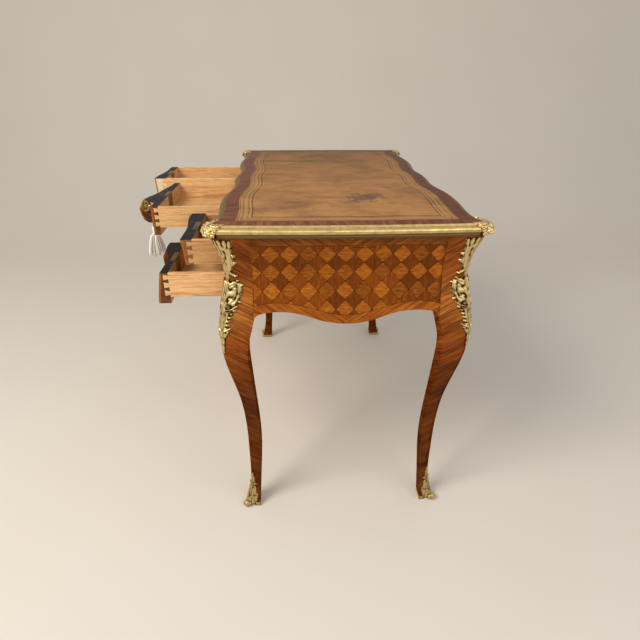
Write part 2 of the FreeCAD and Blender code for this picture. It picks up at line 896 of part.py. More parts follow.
def keyhole(centre_x, start_depth, finish_depth, height):
    """A round hole for the shank and a slot below it for the bit, running towards -Y."""
    radius = key_shank_radius + key_clearance
    half_slot = key_bit_thickness * 0.5 + key_clearance
    drop = key_shank_radius + key_bit_length + key_clearance
    length = finish_depth - start_depth
    start = Vector(centre_x, -start_depth, height)
    hole = Part.makeCylinder(radius, length, start, Vector(0, -1, 0))
    slot = box(Vector(centre_x - half_slot, -finish_depth, height - drop),
               Vector(centre_x + half_slot, -start_depth, height))
    return hole.fuse(slot)


def lock_solids(centre_x, front_back, top):
    """Lock case let into the back of the front, hollow round the bit, with a plate on top."""
    case = box(Vector(centre_x - lock_half_width, -front_back - lock_depth, top - lock_height),
               Vector(centre_x + lock_half_width, -front_back, top))
    plate = box(Vector(centre_x - lock_plate_half_width, -front_back - lock_plate_depth,
                       top - lock_plate_thickness),
                Vector(centre_x + lock_plate_half_width, -front_back, top))
    height = top - lock_axis_drop
    room = key_shank_radius + key_bit_length + key_clearance * 2.0
    depth = lock_depth - lock_wall * 2.0
    chamber = box(Vector(centre_x - room, -front_back - lock_wall - depth, height - room),
                  Vector(centre_x + room, -front_back - lock_wall, height + room))
    lock = case.fuse(plate).removeSplitter()
    lock = lock.cut(chamber)
    return lock.cut(keyhole(centre_x, front_back + lock_wall, front_back + lock_depth, height))


def make_drawer(name, front, inner, outer, front_back, top, bottom, pulled):
    """Everything is made closed, then drawn out by the length pulled."""
    shift = Vector(0, -pulled, 0)
    low_side = box(Vector(inner, -front_back, bottom),
                   Vector(inner + side_thickness, drawer_back_face, top))
    high_side = box(Vector(outer - side_thickness, -front_back, bottom),
                    Vector(outer, drawer_back_face, top))
    for tail in dovetails(inner, 1.0, front_back, bottom, top, dovetail_pin_count):
        low_side = low_side.fuse(tail)
    for tail in dovetails(outer, -1.0, front_back, bottom, top, dovetail_pin_count):
        high_side = high_side.fuse(tail)
    panel_low = bottom + bottom_groove_height
    panel = box(Vector(inner + side_thickness - bottom_groove_depth,
                       -front_back - bottom_groove_depth, panel_low),
                Vector(outer - side_thickness + bottom_groove_depth,
                       drawer_back_face, panel_low + bottom_thickness))
    back = box(Vector(inner + side_thickness, drawer_back_face - back_thickness,
                      panel_low + bottom_thickness),
               Vector(outer - side_thickness, drawer_back_face, top - bottom_groove_height))
    middle = (inner + outer) * 0.5
    lock = lock_solids(middle, front_back, top)
    pocket = box(Vector(middle - lock_half_width, -front_back - lock_depth, top - lock_height),
                 Vector(middle + lock_half_width, -front_back, top))
    hole = keyhole(middle, front_back, front_back + overrun, top - lock_axis_drop)
    sides = Part.makeCompound([low_side.cut(panel), high_side.cut(panel)])
    front = front.cut(low_side).cut(high_side).cut(panel).cut(pocket).cut(lock).cut(hole)
    pieces = {"front": front, "sides": sides, "back": back, "bottom": panel, "lock": lock}
    for piece, shape in pieces.items():
        moved = shape.copy()
        moved.translate(shift)
        save(moved, "drawer_" + name + "_" + piece)


def make_drawers():
    inner = pedestal_inner + fit_gap
    outer = post_inner_half_length - fit_gap
    upper = upper_front(inner, outer, upper_drawer_top, upper_drawer_bottom)
    lower = lower_front(inner, outer, lower_drawer_top, lower_drawer_bottom - drawer_apron)
    middle = centre_front(upper_drawer_top, upper_drawer_bottom - centre_drawer_apron)
    half = centre_opening_half - fit_gap
    make_drawer("right_upper", upper, inner, outer, pedestal_front_back_face,
                upper_drawer_top, upper_drawer_bottom, open_right_upper)
    make_drawer("right_lower", lower, inner, outer, pedestal_front_back_face,
                lower_drawer_top, lower_drawer_bottom, open_right_lower)
    make_drawer("left_upper", mirrored_x(upper), -outer, -inner, pedestal_front_back_face,
                upper_drawer_top, upper_drawer_bottom, open_left_upper)
    make_drawer("left_lower", mirrored_x(lower), -outer, -inner, pedestal_front_back_face,
                lower_drawer_top, lower_drawer_bottom, open_left_lower)
    make_drawer("centre", middle, -half, half, centre_front_back_face,
                upper_drawer_top, upper_drawer_bottom, open_centre)


# Key with a pierced bow, and its tassel

def make_key():
    """Oval pierced bow, a round shank, and the bit inside the lock."""
    axis = Vector(0, -1, 0)
    centre = Vector(0, -key_bow_centre, key_height)
    half_thick = key_bow_thickness * 0.5
    shift = Vector(-half_thick, 0, 0)

    def oval(inset):
        corners = []
        for index in range(key_bow_facet_count):
            angle = 2.0 * math.pi * index / key_bow_facet_count
            out = (key_bow_half_width - inset) * math.cos(angle)
            up = (key_bow_half_height - inset) * math.sin(angle)
            corners.append(centre + shift + Vector(0, out, up))
        face = Part.Face(Part.makePolygon(corners + [corners[0]]))
        return face.extrude(Vector(key_bow_thickness, 0, 0))

    hub = Part.makeCylinder(key_bow_hub_radius, key_bow_thickness, centre + shift, Vector(1, 0, 0))
    bow = oval(0).cut(oval(key_bow_rim)).fuse(hub)
    inside = oval(key_bow_rim * 0.5)
    half_spoke = key_spoke_width * 0.5
    for index in range(key_spoke_count):
        spoke = box(Vector(-half_spoke, -half_spoke, 0),
                    Vector(half_spoke, half_spoke, key_bow_half_height))
        spoke.rotate(Vector(0, 0, 0), Vector(1, 0, 0), 360.0 * index / key_spoke_count)
        spoke.translate(centre)
        bow = bow.fuse(spoke.common(inside))
    tip = lock_back + key_clearance
    shank_end = key_bow_centre - key_bow_half_width + key_bow_rim * 0.5
    shank = Part.makeCylinder(key_shank_radius, shank_end - tip, Vector(0, -tip, key_height), axis)
    half_bit = key_bit_thickness * 0.5
    bit = box(Vector(-half_bit, -tip - key_bit_width, key_height - key_shank_radius - key_bit_length),
              Vector(half_bit, -tip, key_height))
    key = bow.fuse(shank).fuse(bit)
    key.translate(Vector(0, -open_centre, 0))
    save(key.removeSplitter(), "key")


def make_tassel():
    """A loop of cord over the shank, a turned head and a spreading skirt."""
    place = Vector(0, -tassel_place - open_centre, 0)
    turn = key_shank_radius + key_clearance + tassel_cord_radius
    up = Vector(0, 0, 1)
    hang = key_height - tassel_head_top
    side_left = Vector(-turn, 0, key_height)
    corners = []
    for index in range(cord_strand_count):
        angle = 2.0 * math.pi * index / cord_strand_count
        corners.append(side_left + Vector(math.cos(angle), math.sin(angle), 0) * tassel_cord_radius)
    section = Part.Face(Part.makePolygon(corners + [corners[0]]))
    cord = section.revolve(Vector(0, 0, key_height), Vector(0, 1, 0), 180)
    for leg in (section, mirrored_x(section)):
        cord = cord.fuse(leg.extrude(up * -hang))
    cord.translate(place)
    save(cord, "tassel_cord")
    head_low = tassel_head_top - tassel_head_height
    shoulder_height = head_low - tassel_head_radius
    flank_height = (shoulder_height + tassel_skirt_bottom) * 0.5
    levels = [
        (tassel_neck_radius + tassel_cord_radius, tassel_head_top),
        (tassel_head_radius, tassel_head_top - tassel_head_height * 0.5),
        (tassel_neck_radius, head_low),
        (tassel_shoulder_radius, shoulder_height),
        (tassel_skirt_radius * tassel_flank_share, flank_height),
        (tassel_skirt_radius, tassel_skirt_bottom),
    ]
    tassel = fluted(levels, tassel_flute_count)
    tassel.translate(place)
    save(tassel, "tassel")


# Carcass: rails, dividers, partitions, boards, guides and the blind back

def leg_side_depth(swell):
    """Depth of the fronts' upper edge for a share of the swell towards the kneehole."""
    return leg_side_front_top + (kneehole_front_top - leg_side_front_top) * swell


def rail_plan(height_low, height_high, setback):
    """Plan of the rail over the drawers, serpentine from leg to leg."""
    right = centre_arcs(centre_opening_half, setback, height_low)
    right += divider_arcs(leg_side_depth(kneehole_swell_share) - setback, setback, height_low)
    right += swell_arcs(pedestal_inner, post_inner_half_length, kneehole_front_top - setback,
                        leg_side_front_top - setback, height_low)
    back_depth = centre_front_end - rail_depth
    low = Vector(-post_inner_half_length, -back_depth, height_low)
    high = Vector(post_inner_half_length, -back_depth, height_low)
    far = Vector(post_inner_half_length, -leg_side_front_top + setback, height_low)
    near = Vector(-far.x, far.y, far.z)
    loop = right + [mirrored_x(edge) for edge in right]
    loop += [line(far, high), line(high, low), line(low, near)]
    return prism(Part.__sortEdges__(loop), Vector(0, 0, height_high - height_low))


def make_top_rails():
    rail = rail_plan(drawer_head, top_underside, rail_setback)
    save(rail, "top_rail_front")
    save(mirrored_y(rail), "top_rail_back")


def make_mid_rails():
    inner = pedestal_inner
    outer = post_inner_half_length
    wires = []
    low = lower_drawer_top + fit_gap
    high = upper_drawer_bottom - fit_gap
    for height, kneehole_depth in ((low, kneehole_front_rim), (high, kneehole_front_waist)):
        wires.append(front_section(inner, outer, kneehole_depth - rail_setback,
                                   leg_side_front_waist - rail_setback,
                                   carcass_half_depth, height))
    rail = loft(wires)
    save(Part.makeCompound([rail, mirrored_x(rail)]), "mid_rails")


def divider_solid():
    """Shaped post between the centre drawer and a pedestal, with a bracket below."""
    near = Vector(centre_opening_half, -divider_half_depth, 0)
    far = Vector(pedestal_inner, -kneehole_front_waist, 0)
    low = Vector(centre_opening_half, -carcass_half_depth, 0)
    high = Vector(pedestal_inner, -carcass_half_depth, 0)
    plan = prism(slope_arcs(near, far) + [line(far, high), line(high, low), line(low, near)],
                 Vector(0, 0, overrun))
    foot = lower_drawer_bottom - drawer_apron
    shelf = upper_drawer_bottom - centre_drawer_apron
    inner_foot = pedestal_inner - partition_thickness
    bend = inner_foot - centre_opening_half

    def at(x, up):
        return Vector(x, -overrun, up)

    middle = bend - bend / root_two
    edges = [
        line(at(pedestal_inner, foot), at(pedestal_inner, drawer_head)),
        line(at(pedestal_inner, drawer_head), at(centre_opening_half, drawer_head)),
        line(at(centre_opening_half, drawer_head), at(centre_opening_half, shelf)),
        Part.Arc(at(centre_opening_half, shelf),
                 at(inner_foot - middle, shelf - middle),
                 at(inner_foot, shelf - bend)).toShape(),
        line(at(inner_foot, shelf - bend), at(inner_foot, foot)),
        line(at(inner_foot, foot), at(pedestal_inner, foot)),
    ]
    view = prism(edges, Vector(0, overrun, 0))
    return plan.common(view)


def make_dividers():
    divider = divider_solid()
    save(Part.makeCompound([divider, mirrored_x(divider)]), "front_dividers")


def make_partitions():
    foot = lower_drawer_bottom - drawer_apron
    panel = box(Vector(pedestal_inner - partition_thickness, -carcass_half_depth, foot),
                Vector(pedestal_inner, carcass_half_depth, drawer_head))
    save(panel, "kneehole_side_right")
    save(mirrored_x(panel), "kneehole_side_left")


def make_boards():
    """Dust board under the upper drawer, bottom board under the lower, centre board."""
    back = carcass_half_depth
    boards = []
    for drawer_bottom in (upper_drawer_bottom, lower_drawer_bottom):
        top = drawer_bottom - seat_gap
        boards.append(box(Vector(pedestal_inner, -back, top - board_thickness),
                          Vector(post_inner_half_length, back, top)))
    pair = Part.makeCompound(boards)
    save(pair, "pedestal_boards_right")
    save(mirrored_x(pair), "pedestal_boards_left")
    top = upper_drawer_bottom - seat_gap
    half = pedestal_inner - partition_thickness
    centre = box(Vector(-half, -centre_front_back_face + fit_gap, top - board_thickness),
                 Vector(half, back, top))
    save(centre.cut(divider_solid()).cut(mirrored_x(divider_solid())), "centre_board")


def make_guides():
    """Guide strips beside the drawers and kickers over them."""
    strips = []
    post = post_inner_half_depth
    for drawer_bottom in (upper_drawer_bottom, lower_drawer_bottom):
        low = drawer_bottom - seat_gap - board_thickness
        strips.append(box(Vector(post_inner_half_length, -post, low),
                          Vector(end_panel_inner_half_length, post, low + guide_height)))
    inner_half = pedestal_inner - partition_thickness
    low = upper_drawer_bottom - seat_gap
    rail_back = centre_front_end - rail_depth
    strips.append(box(Vector(centre_opening_half, -rail_back, low),
                      Vector(inner_half, carcass_half_depth, low + guide_height)))
    for x in (pedestal_inner - kicker_width * 0.5, post_inner_half_length):
        strips.append(box(Vector(x, -post, drawer_head),
                          Vector(x + kicker_width, post, top_underside)))
    strips += [mirrored_x(strip) for strip in strips]
    save(Part.makeCompound(strips), "drawer_guides")


def make_back():
    inner = pedestal_inner
    outer = post_inner_half_length
    foot = lower_drawer_bottom - drawer_apron
    waist = (lower_drawer_top + upper_drawer_bottom) * 0.5
    leg_rise = leg_side_front_low - leg_side_front_waist
    levels = [
        (foot, kneehole_front_waist, leg_side_front_low),
        ((foot + waist) * 0.5, kneehole_front_rim, leg_side_front_low - leg_rise * 0.5),
        (waist, kneehole_front_waist, leg_side_front_waist),
        (drawer_head, kneehole_front_top, leg_side_front_top),
    ]
    wires = []
    for height, kneehole_depth, leg_depth in levels:
        wires.append(front_section(inner, outer, kneehole_depth, leg_depth,
                                   carcass_half_depth, height))
    panel = mirrored_y(loft(wires))
    save(panel, "back_panel_right")
    save(mirrored_x(panel), "back_panel_left")
    shelf = upper_drawer_bottom - centre_drawer_apron
    right = centre_arcs(centre_opening_half, 0, shelf)
    right += divider_arcs(kneehole_front_waist, 0, shelf)
    low = Vector(-pedestal_inner, -carcass_half_depth, shelf)
    high = Vector(pedestal_inner, -carcass_half_depth, shelf)
    far = Vector(pedestal_inner, -kneehole_front_waist, shelf)
    near = Vector(-pedestal_inner, -kneehole_front_waist, shelf)
    loop = right + [mirrored_x(edge) for edge in right]
    loop += [line(far, high), line(high, low), line(low, near)]
    centre = mirrored_y(prism(Part.__sortEdges__(loop), Vector(0, 0, drawer_head - shelf)))
    save(centre, "back_panel_centre")


make_top()
make_mouldings()
make_clasps()
make_legs()
make_end_panels()
make_drawers()
make_key()
make_tassel()
make_top_rails()
make_mid_rails()
make_dividers()
make_partitions()
make_boards()
make_guides()
make_back()
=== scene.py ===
import math
import random
from functools import partial

import bmesh
import bpy
from mathutils import Matrix, Vector, noise
from mathutils.bvhtree import BVHTree


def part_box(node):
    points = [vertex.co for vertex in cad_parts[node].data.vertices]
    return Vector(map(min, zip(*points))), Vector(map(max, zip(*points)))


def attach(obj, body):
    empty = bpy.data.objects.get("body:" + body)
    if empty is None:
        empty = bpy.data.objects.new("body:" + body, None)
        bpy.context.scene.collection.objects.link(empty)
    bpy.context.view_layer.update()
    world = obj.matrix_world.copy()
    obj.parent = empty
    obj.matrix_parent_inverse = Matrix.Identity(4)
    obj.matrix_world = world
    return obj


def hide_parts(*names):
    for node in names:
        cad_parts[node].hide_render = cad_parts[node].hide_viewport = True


bl_info = {
    "name": "Serpentine writing table",
    "version": (1, 0, 0),
    "blender": (4, 5, 0),
    "location": "View3D > Sidebar > Table",
    "description": "Veneers, leather, gilt mounts, locks and tassel of a serpentine writing table",
    "category": "Object",
}

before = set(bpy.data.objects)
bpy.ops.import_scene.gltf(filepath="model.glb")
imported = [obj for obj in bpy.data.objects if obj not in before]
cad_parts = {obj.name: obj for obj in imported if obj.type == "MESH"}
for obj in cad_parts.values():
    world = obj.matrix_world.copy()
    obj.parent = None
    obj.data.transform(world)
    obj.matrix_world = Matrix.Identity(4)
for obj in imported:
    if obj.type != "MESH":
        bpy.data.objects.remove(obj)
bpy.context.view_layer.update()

# Metres in a millimetre
MM = 0.001
ALONG_X, ALONG_Y, ALONG_Z = Vector((1, 0, 0)), Vector((0, 1, 0)), Vector((0, 0, 1))
# Edges of a solid that turn by more than this are eased
SHARP_ANGLE = math.radians(35)
TOP_LOW, TOP_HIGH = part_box("top_board")
# Which side of the table each corner is on, along X and Y
CORNERS = {
    "back_right": (1, 1),
    "back_left": (-1, 1),
    "front_right": (1, -1),
    "front_left": (-1, -1),
}


def linear(tone):
    """The linear red, green and blue of an sRGB hex colour. A linear colour stays as it is."""
    if not isinstance(tone, str):
        return tuple(tone)
    shares = [int(tone[place:place + 2], 16) / 255 for place in (1, 3, 5)]
    return tuple(s / 12.92 if s <= 0.04045 else ((s + 0.055) / 1.055) ** 2.4 for s in shares)


def lighter(tone, times):
    return [min(1.0, share * times) for share in linear(tone)]


def colour(name, description, code):
    """A colour setting with a hex default."""
    return bpy.props.FloatVectorProperty(name=name, description=description, default=linear(code),
                                         subtype="COLOR", size=3, min=0.0, max=1.0)


def length(name, description, millimetres):
    """A size setting given in millimetres."""
    return bpy.props.FloatProperty(name=name, description=description,
                                   default=millimetres * MM, unit="LENGTH")


class TableColours(bpy.types.PropertyGroup):
    """Colours of the table's finishes."""
    veneer_light: colour("Veneer, light", "Light figure of the tulipwood", "#954F1A")
    veneer_dark: colour("Veneer, dark", "Dark streaks of the tulipwood", "#56280D")
    diamond_light: colour("Diamond", "The light diamonds of the parquetry", "#985416")
    diamond_ground: colour("Ground", "The red ground between the diamonds", "#7E3E0C")
    banding_red: colour("Banding", "Crossbanding of the top", "#723C2A")
    banding_orange: colour("Banding, light", "Lighter figure of the crossbanding", "#8E5434")
    leather: colour("Leather", "The worn hide of the top", "#AE7F50")
    leather_stain: colour("Leather stain", "Dark stains and the edge of the hide", "#6A5040")
    oak_light: colour("Oak, light", "Early wood of the drawer linings", "#E6BA84")
    oak_dark: colour("Oak, dark", "Late wood of the drawer linings", "#BE8A54")
    ink: colour("Ink", "Blackened top edges of the drawer fronts", "#1B1D26")
    ink_worn: colour("Ink, worn", "Where the black has rubbed off", "#57452C")
    gilt: colour("Gilt", "Burnished high places of the mounts", "#EDD092")
    gilt_shade: colour("Gilt, dull", "Dull hollows of the mounts", "#33240E")
    brass: colour("Brass", "Plain brass of the locks and the key", "#B79A62")
    silk: colour("Silk", "The tassel's threads", "#FBF7EC")
    silk_shade: colour("Silk, deep", "Between the tassel's threads", "#A6A39C")
    lock: colour("Locks", "Dull brass of the lock plates", "#7C6A48")
    braid: colour("Braid", "The cord of the tassel", "#A5622E")


class TableSizes(bpy.types.PropertyGroup):
    """Sizes of the table's ornament that a user may change."""
    edge_ease: length("Edge ease", "How far wooden edges are rounded", 0.6)
    stripe: length("Stripe", "Width of a streak in the tulipwood", 5.0)
    oak_ring: length("Oak ring", "Width of a growth ring in the oak", 4.0)
    carving_cell: length("Carving", "Size of one curl of the clasps' carving", 7.0)
    carving_depth: length("Carving depth", "How deep the clasps are carved", 1.8)
    casting_grid: length("Casting grid", "Fineness of the carved castings", 0.9)
    diamond_width: length("Diamond width", "Spacing of the parquetry along the panel", 38.6)
    diamond_height: length("Diamond height", "Spacing of the parquetry up the panel", 40.2)
    diamond_shift: length("Diamond shift", "How far the pattern lies off the panel's middle", -6.0)
    diamond_line: length("Diamond line", "Dark stringing round each diamond", 0.8)
    panel_border: length("Panel border", "Banding between parquetry and apron", 20.0)
    panel_head: length("Panel head", "Banding between parquetry and moulding", 17.0)
    crack: length("Crack", "Half width of a crack in the parquetry", 0.6)
    veneer_edge: length("Veneer edge", "Veneer seen on the ends of a drawer front", 5.0)
    hide_grain: length("Hide grain", "Spacing of the leather's grain", 2.0)
    thread_count: bpy.props.IntProperty(name="Threads", description="Threads in the tassel",
                                        default=110, min=12)
    thread_radius: length("Thread", "Radius of one thread of the tassel", 1.35)


def colours():
    return bpy.context.scene.table_colours


def sizes():
    return bpy.context.scene.table_sizes


# Materials

WHITE = "#FFFFFF"
# Old wax polish gives wood a soft sheen, never a mirror, and wood that has lost it has none
WAXED = {"Specular IOR Level": 0.05}
DRY = {"Specular IOR Level": 0.0}
METAL = {"Metallic": 1.0}
SILKEN = {"Sheen Weight": 0.4, "Sheen Roughness": 0.4}
# Cosine and sine of the angle at which figured veneer runs down to a middle line
SLANT = (0.86, 0.51)
# Heights of a leg in metres, for painted light: the span over which painted shade at its foot
# gives way to painted light, the middle and reach of the painted highlight on its knee, and the
# span over which painted shade darkens its head under the top
LEG_FOOT = (0.36, 0.58)
KNEE, KNEE_REACH = 0.595, 0.075
LEG_HEAD = (0.63, 0.68)
# Places on the top in metres: where painted shade darkens it towards the back, and where painted
# light brightens its near end
TOP_PAINTED_SHADE = (-0.2, 0.25)
TOP_PAINTED_LIGHT = (0.455, 0.47)
# The hide is painted darker towards its far end, as painted shade, and the mitres of the banding
# lie off the diagonal
HIDE_SHADE = (-0.45, 0.35)
MITRE_SHIFT = 0.01
# The apron of an end panel: how far its edge rises, and how far from the middle it is lowest
APRON_RISE = 0.0285
APRON_CREST = 0.150
# How far the veneered face of an end panel lies inside its solid's ends
PANEL_MARGIN = 0.0015
# The crack in the end panel: its middle and half its length in metres
CRACK_MIDDLE, CRACK_REACH = 0.03, 0.025
# Stains of the hide: place and half size along X and Y in metres, and how dark
HIDE_STAINS = [
    (0.275, 0.05, 0.045, 0.04, 0.85),
    (0.25, 0.09, 0.03, 0.03, 0.7),
    (0.31, 0.02, 0.02, 0.03, 0.5),
    (-0.26, -0.09, 0.028, 0.12, 0.6),
    (-0.36, 0.02, 0.06, 0.10, 0.45),
    (0.37, 0.02, 0.05, 0.06, 0.2),
]
# Lines tooled round the hide: millimetres from its edge, half width, colour, and how dark
TOOLED_LINES = [
    (0.0, 1.6, "#2E2018", 0.9),
    (4.6, 1.1, "#4A3020", 0.75),
    (7.0, 1.2, "#C09A5E", 0.5),
    (11.6, 1.2, "#4A3020", 0.8),
    (17.0, 3.2, "#C29A60", 0.45),
    (23.0, 1.3, "#50341E", 0.7),
    (27.6, 1.2, "#C8A468", 0.6),
    (31.0, 1.9, "#2E1C10", 0.95),
]


def add_node(tree, kind, *values, stops=(), **settings):
    """Adds a node with its settings and links. A kind in capitals is a Math node's operation,
    and the second word of a Mix is the way one colour lies on the other. The values fill its
    sockets in order, or by name from a dict: a number, a colour, a socket, or a node that gives
    its first output."""
    kind, _, blend = kind.partition(" ")
    if kind.isupper():
        settings["operation"], kind = kind, "Math"
    if blend:
        settings |= {"data_type": "RGBA", "blend_type": blend}
    node = tree.nodes.new("ShaderNode" + kind)
    for name, value in settings.items():
        setattr(node, name, value)
    for place, tone in stops:
        node.color_ramp.elements.new(place).color = (*linear(tone), 1.0)
    if stops:
        node.color_ramp.elements.remove(node.color_ramp.elements[0])
        node.color_ramp.elements.remove(node.color_ramp.elements[-1])
    if values and isinstance(values[0], dict):
        pairs = [(node.inputs[name], value) for name, value in values[0].items()]
    else:
        pairs = zip([socket for socket in node.inputs if socket.enabled], values)
    for socket, value in pairs:
        if isinstance(value, bpy.types.Node):
            value = next(output for output in value.outputs if output.enabled)
        if isinstance(value, bpy.types.NodeSocket):
            tree.links.new(value, socket)
        elif socket.type == "RGBA":
            socket.default_value = (*linear(value), 1.0)
        else:
            socket.default_value = value
    return node


def new_finish(name):
    """A material, and the function that puts nodes into its empty tree."""
    finish = bpy.data.materials.new(name)
    finish.use_nodes = True
    finish.node_tree.nodes.clear()
    return finish, partial(add_node, finish.node_tree)


def surfaced(finish, tone, rough, bump=None, more=None):
    """Ends a material in one shader. Its bump is a height, a depth in metres and a strength."""
    sockets = {"Base Color": tone, "Roughness": rough, **(more or {})}
    if bump:
        sockets["Normal"] = add_node(finish.node_tree, "Bump",
                                     dict(zip(("Height", "Distance", "Strength"), bump)))
    shader = add_node(finish.node_tree, "BsdfPrincipled", sockets)
    add_node(finish.node_tree, "OutputMaterial", shader)
    return finish


def place_of(put):
    """X, Y and Z of a point of the piece, in metres."""
    return put("SeparateXYZ", put("TexCoord").outputs["Object"]).outputs


def streaks(put, across, along, third, width, stretch, detail=4.0, distortion=0.6):
    """Noise drawn out along the grain: one streak is about as wide as width."""
    at = put("CombineXYZ", put("DIVIDE", across, width),
             put("DIVIDE", along, width * stretch), third)
    return put("TexNoise", {"Vector": at, "Scale": 1.0, "Detail": detail, "Roughness": 0.62,
                            "Distortion": distortion})


def slanted(put, up, out):
    """Places across and along a grain that runs down and outwards at SLANT."""
    steep, flat = SLANT
    return (put("SUBTRACT", put("MULTIPLY", up, steep), put("MULTIPLY", out, flat)),
            put("ADD", put("MULTIPLY", up, flat), put("MULTIPLY", out, steep)))


def lined(put, tone, pattern, share, dark, low, high):
    """A tone darkened by a share of dark, fully where a pattern is under low, not over high."""
    lines = put("ValToRGB", pattern, stops=[(low, dark), (high, WHITE)])
    return put("Mix MULTIPLY", share, tone, lines)


def shaded(put, tone, along, start, end, first, last):
    """A tone times a shade that goes from first to last between two places."""
    return put("Mix MULTIPLY", 1.0, tone, put("MapRange", along, start, end, first, last))


def inlaid(put, ground, where, share, tone):
    """A ground with a tone laid over it by a share, where the mask is one."""
    return put("Mix MIX", put("MULTIPLY", where, share), ground, tone)


def apart(put, first, second):
    """How far two values are apart."""
    return put("ABSOLUTE", put("SUBTRACT", first, second))


def tulipwood_diagonal(name, polish):
    """Sawn tulipwood veneer under old polish: bold orange and brown streaks run down to the
    ridge of each leg and meet there in a feather; the inner faces have lost their polish."""
    finish, put = new_finish(name)
    x, y, z = place_of(put)
    out = put("ADD", put("ABSOLUTE", x), put("ABSOLUTE", y))
    side = put("MULTIPLY", put("SIGN", y), 3.7)
    side = put("ADD", side, put("SIGN", x))
    grain = partial(streaks, put, *slanted(put, z, out), side)
    broad = grain(sizes().stripe * 5.0, 4.0, 3.0)
    narrow = grain(sizes().stripe * 0.6, 30.0, 3.0, 0.3)
    fine = grain(sizes().stripe * 0.28, 26.0, 2.0)
    bold = put("ADD", put("MULTIPLY", broad, 0.45), put("MULTIPLY", narrow, 0.55))
    tone = put("ValToRGB", bold, stops=[(0.34, colours().veneer_dark), (0.45, "#743814"),
                                        (0.55, colours().veneer_light), (0.68, "#B06A2A")])
    tone = lined(put, tone, fine, 0.65, "#9A8474", 0.30, 0.55)
    # Painted light: the leg is painted darker towards its foot and lighter up towards the knee
    tone = shaded(put, tone, z, *LEG_FOOT, 0.52, 1.3)
    # Painted highlight: the knee is lightened round its middle (rubbed), a painted highlight
    knee = put("DIVIDE", put("SUBTRACT", z, KNEE), KNEE_REACH)
    knee = put("SUBTRACT", 1.0, put("ABSOLUTE", knee))
    rubbed = put("MapRange", knee, 0.0, 0.6)
    tone = put("Mix MULTIPLY", rubbed, tone, (1.1, 1.45, 1.7))
    # Painted shade: the head of the leg is darkened under the top
    tone = shaded(put, tone, z, *LEG_HEAD, 1.0, 0.76)
    rough = put("MapRange", bold, 0.0, 1.0, 0.32, 0.48)
    return surfaced(finish, tone, rough, (fine, 0.0002, 0.5), polish)


def tulipwood_banding(name, light, dark, upright, polish=WAXED):
    """Crossbanded tulipwood: short streaks that run square to the edge of the top, mitred at
    the corners; upright bands lie on fronts and rails and run up and down instead."""
    finish, put = new_finish(name)
    x, y, z = place_of(put)
    if upright:
        across, along = put("ADD", x, y), z
    else:
        past_end = put("SUBTRACT", put("ABSOLUTE", x), TOP_HIGH.x)
        past_side = put("SUBTRACT", put("ABSOLUTE", y), TOP_HIGH.y - MITRE_SHIFT)
        on_end = put("GREATER_THAN", past_end, past_side)
        across, along = put("Mix", on_end, x, y), put("Mix", on_end, y, x)
    bold = streaks(put, across, along, 0.0, sizes().stripe * 2.4, 6.0)
    fine = streaks(put, across, along, 4.0, sizes().stripe * 0.3, 18.0, 2.0)
    tone = put("ValToRGB", bold, stops=[(0.32, lighter(dark, 0.62)), (0.47, dark), (0.66, light)])
    tone = lined(put, tone, fine, 0.7, "#77675C", 0.32, 0.55)
    if not upright:
        # Painted shade towards the back of the top, and painted light on its near end
        tone = shaded(put, tone, y, *TOP_PAINTED_SHADE, 1.0, 0.7)
        tone = shaded(put, tone, x, *TOP_PAINTED_LIGHT, 1.0, 1.4)
    return surfaced(finish, tone, 0.34, (fine, 0.0002, 0.4), polish)


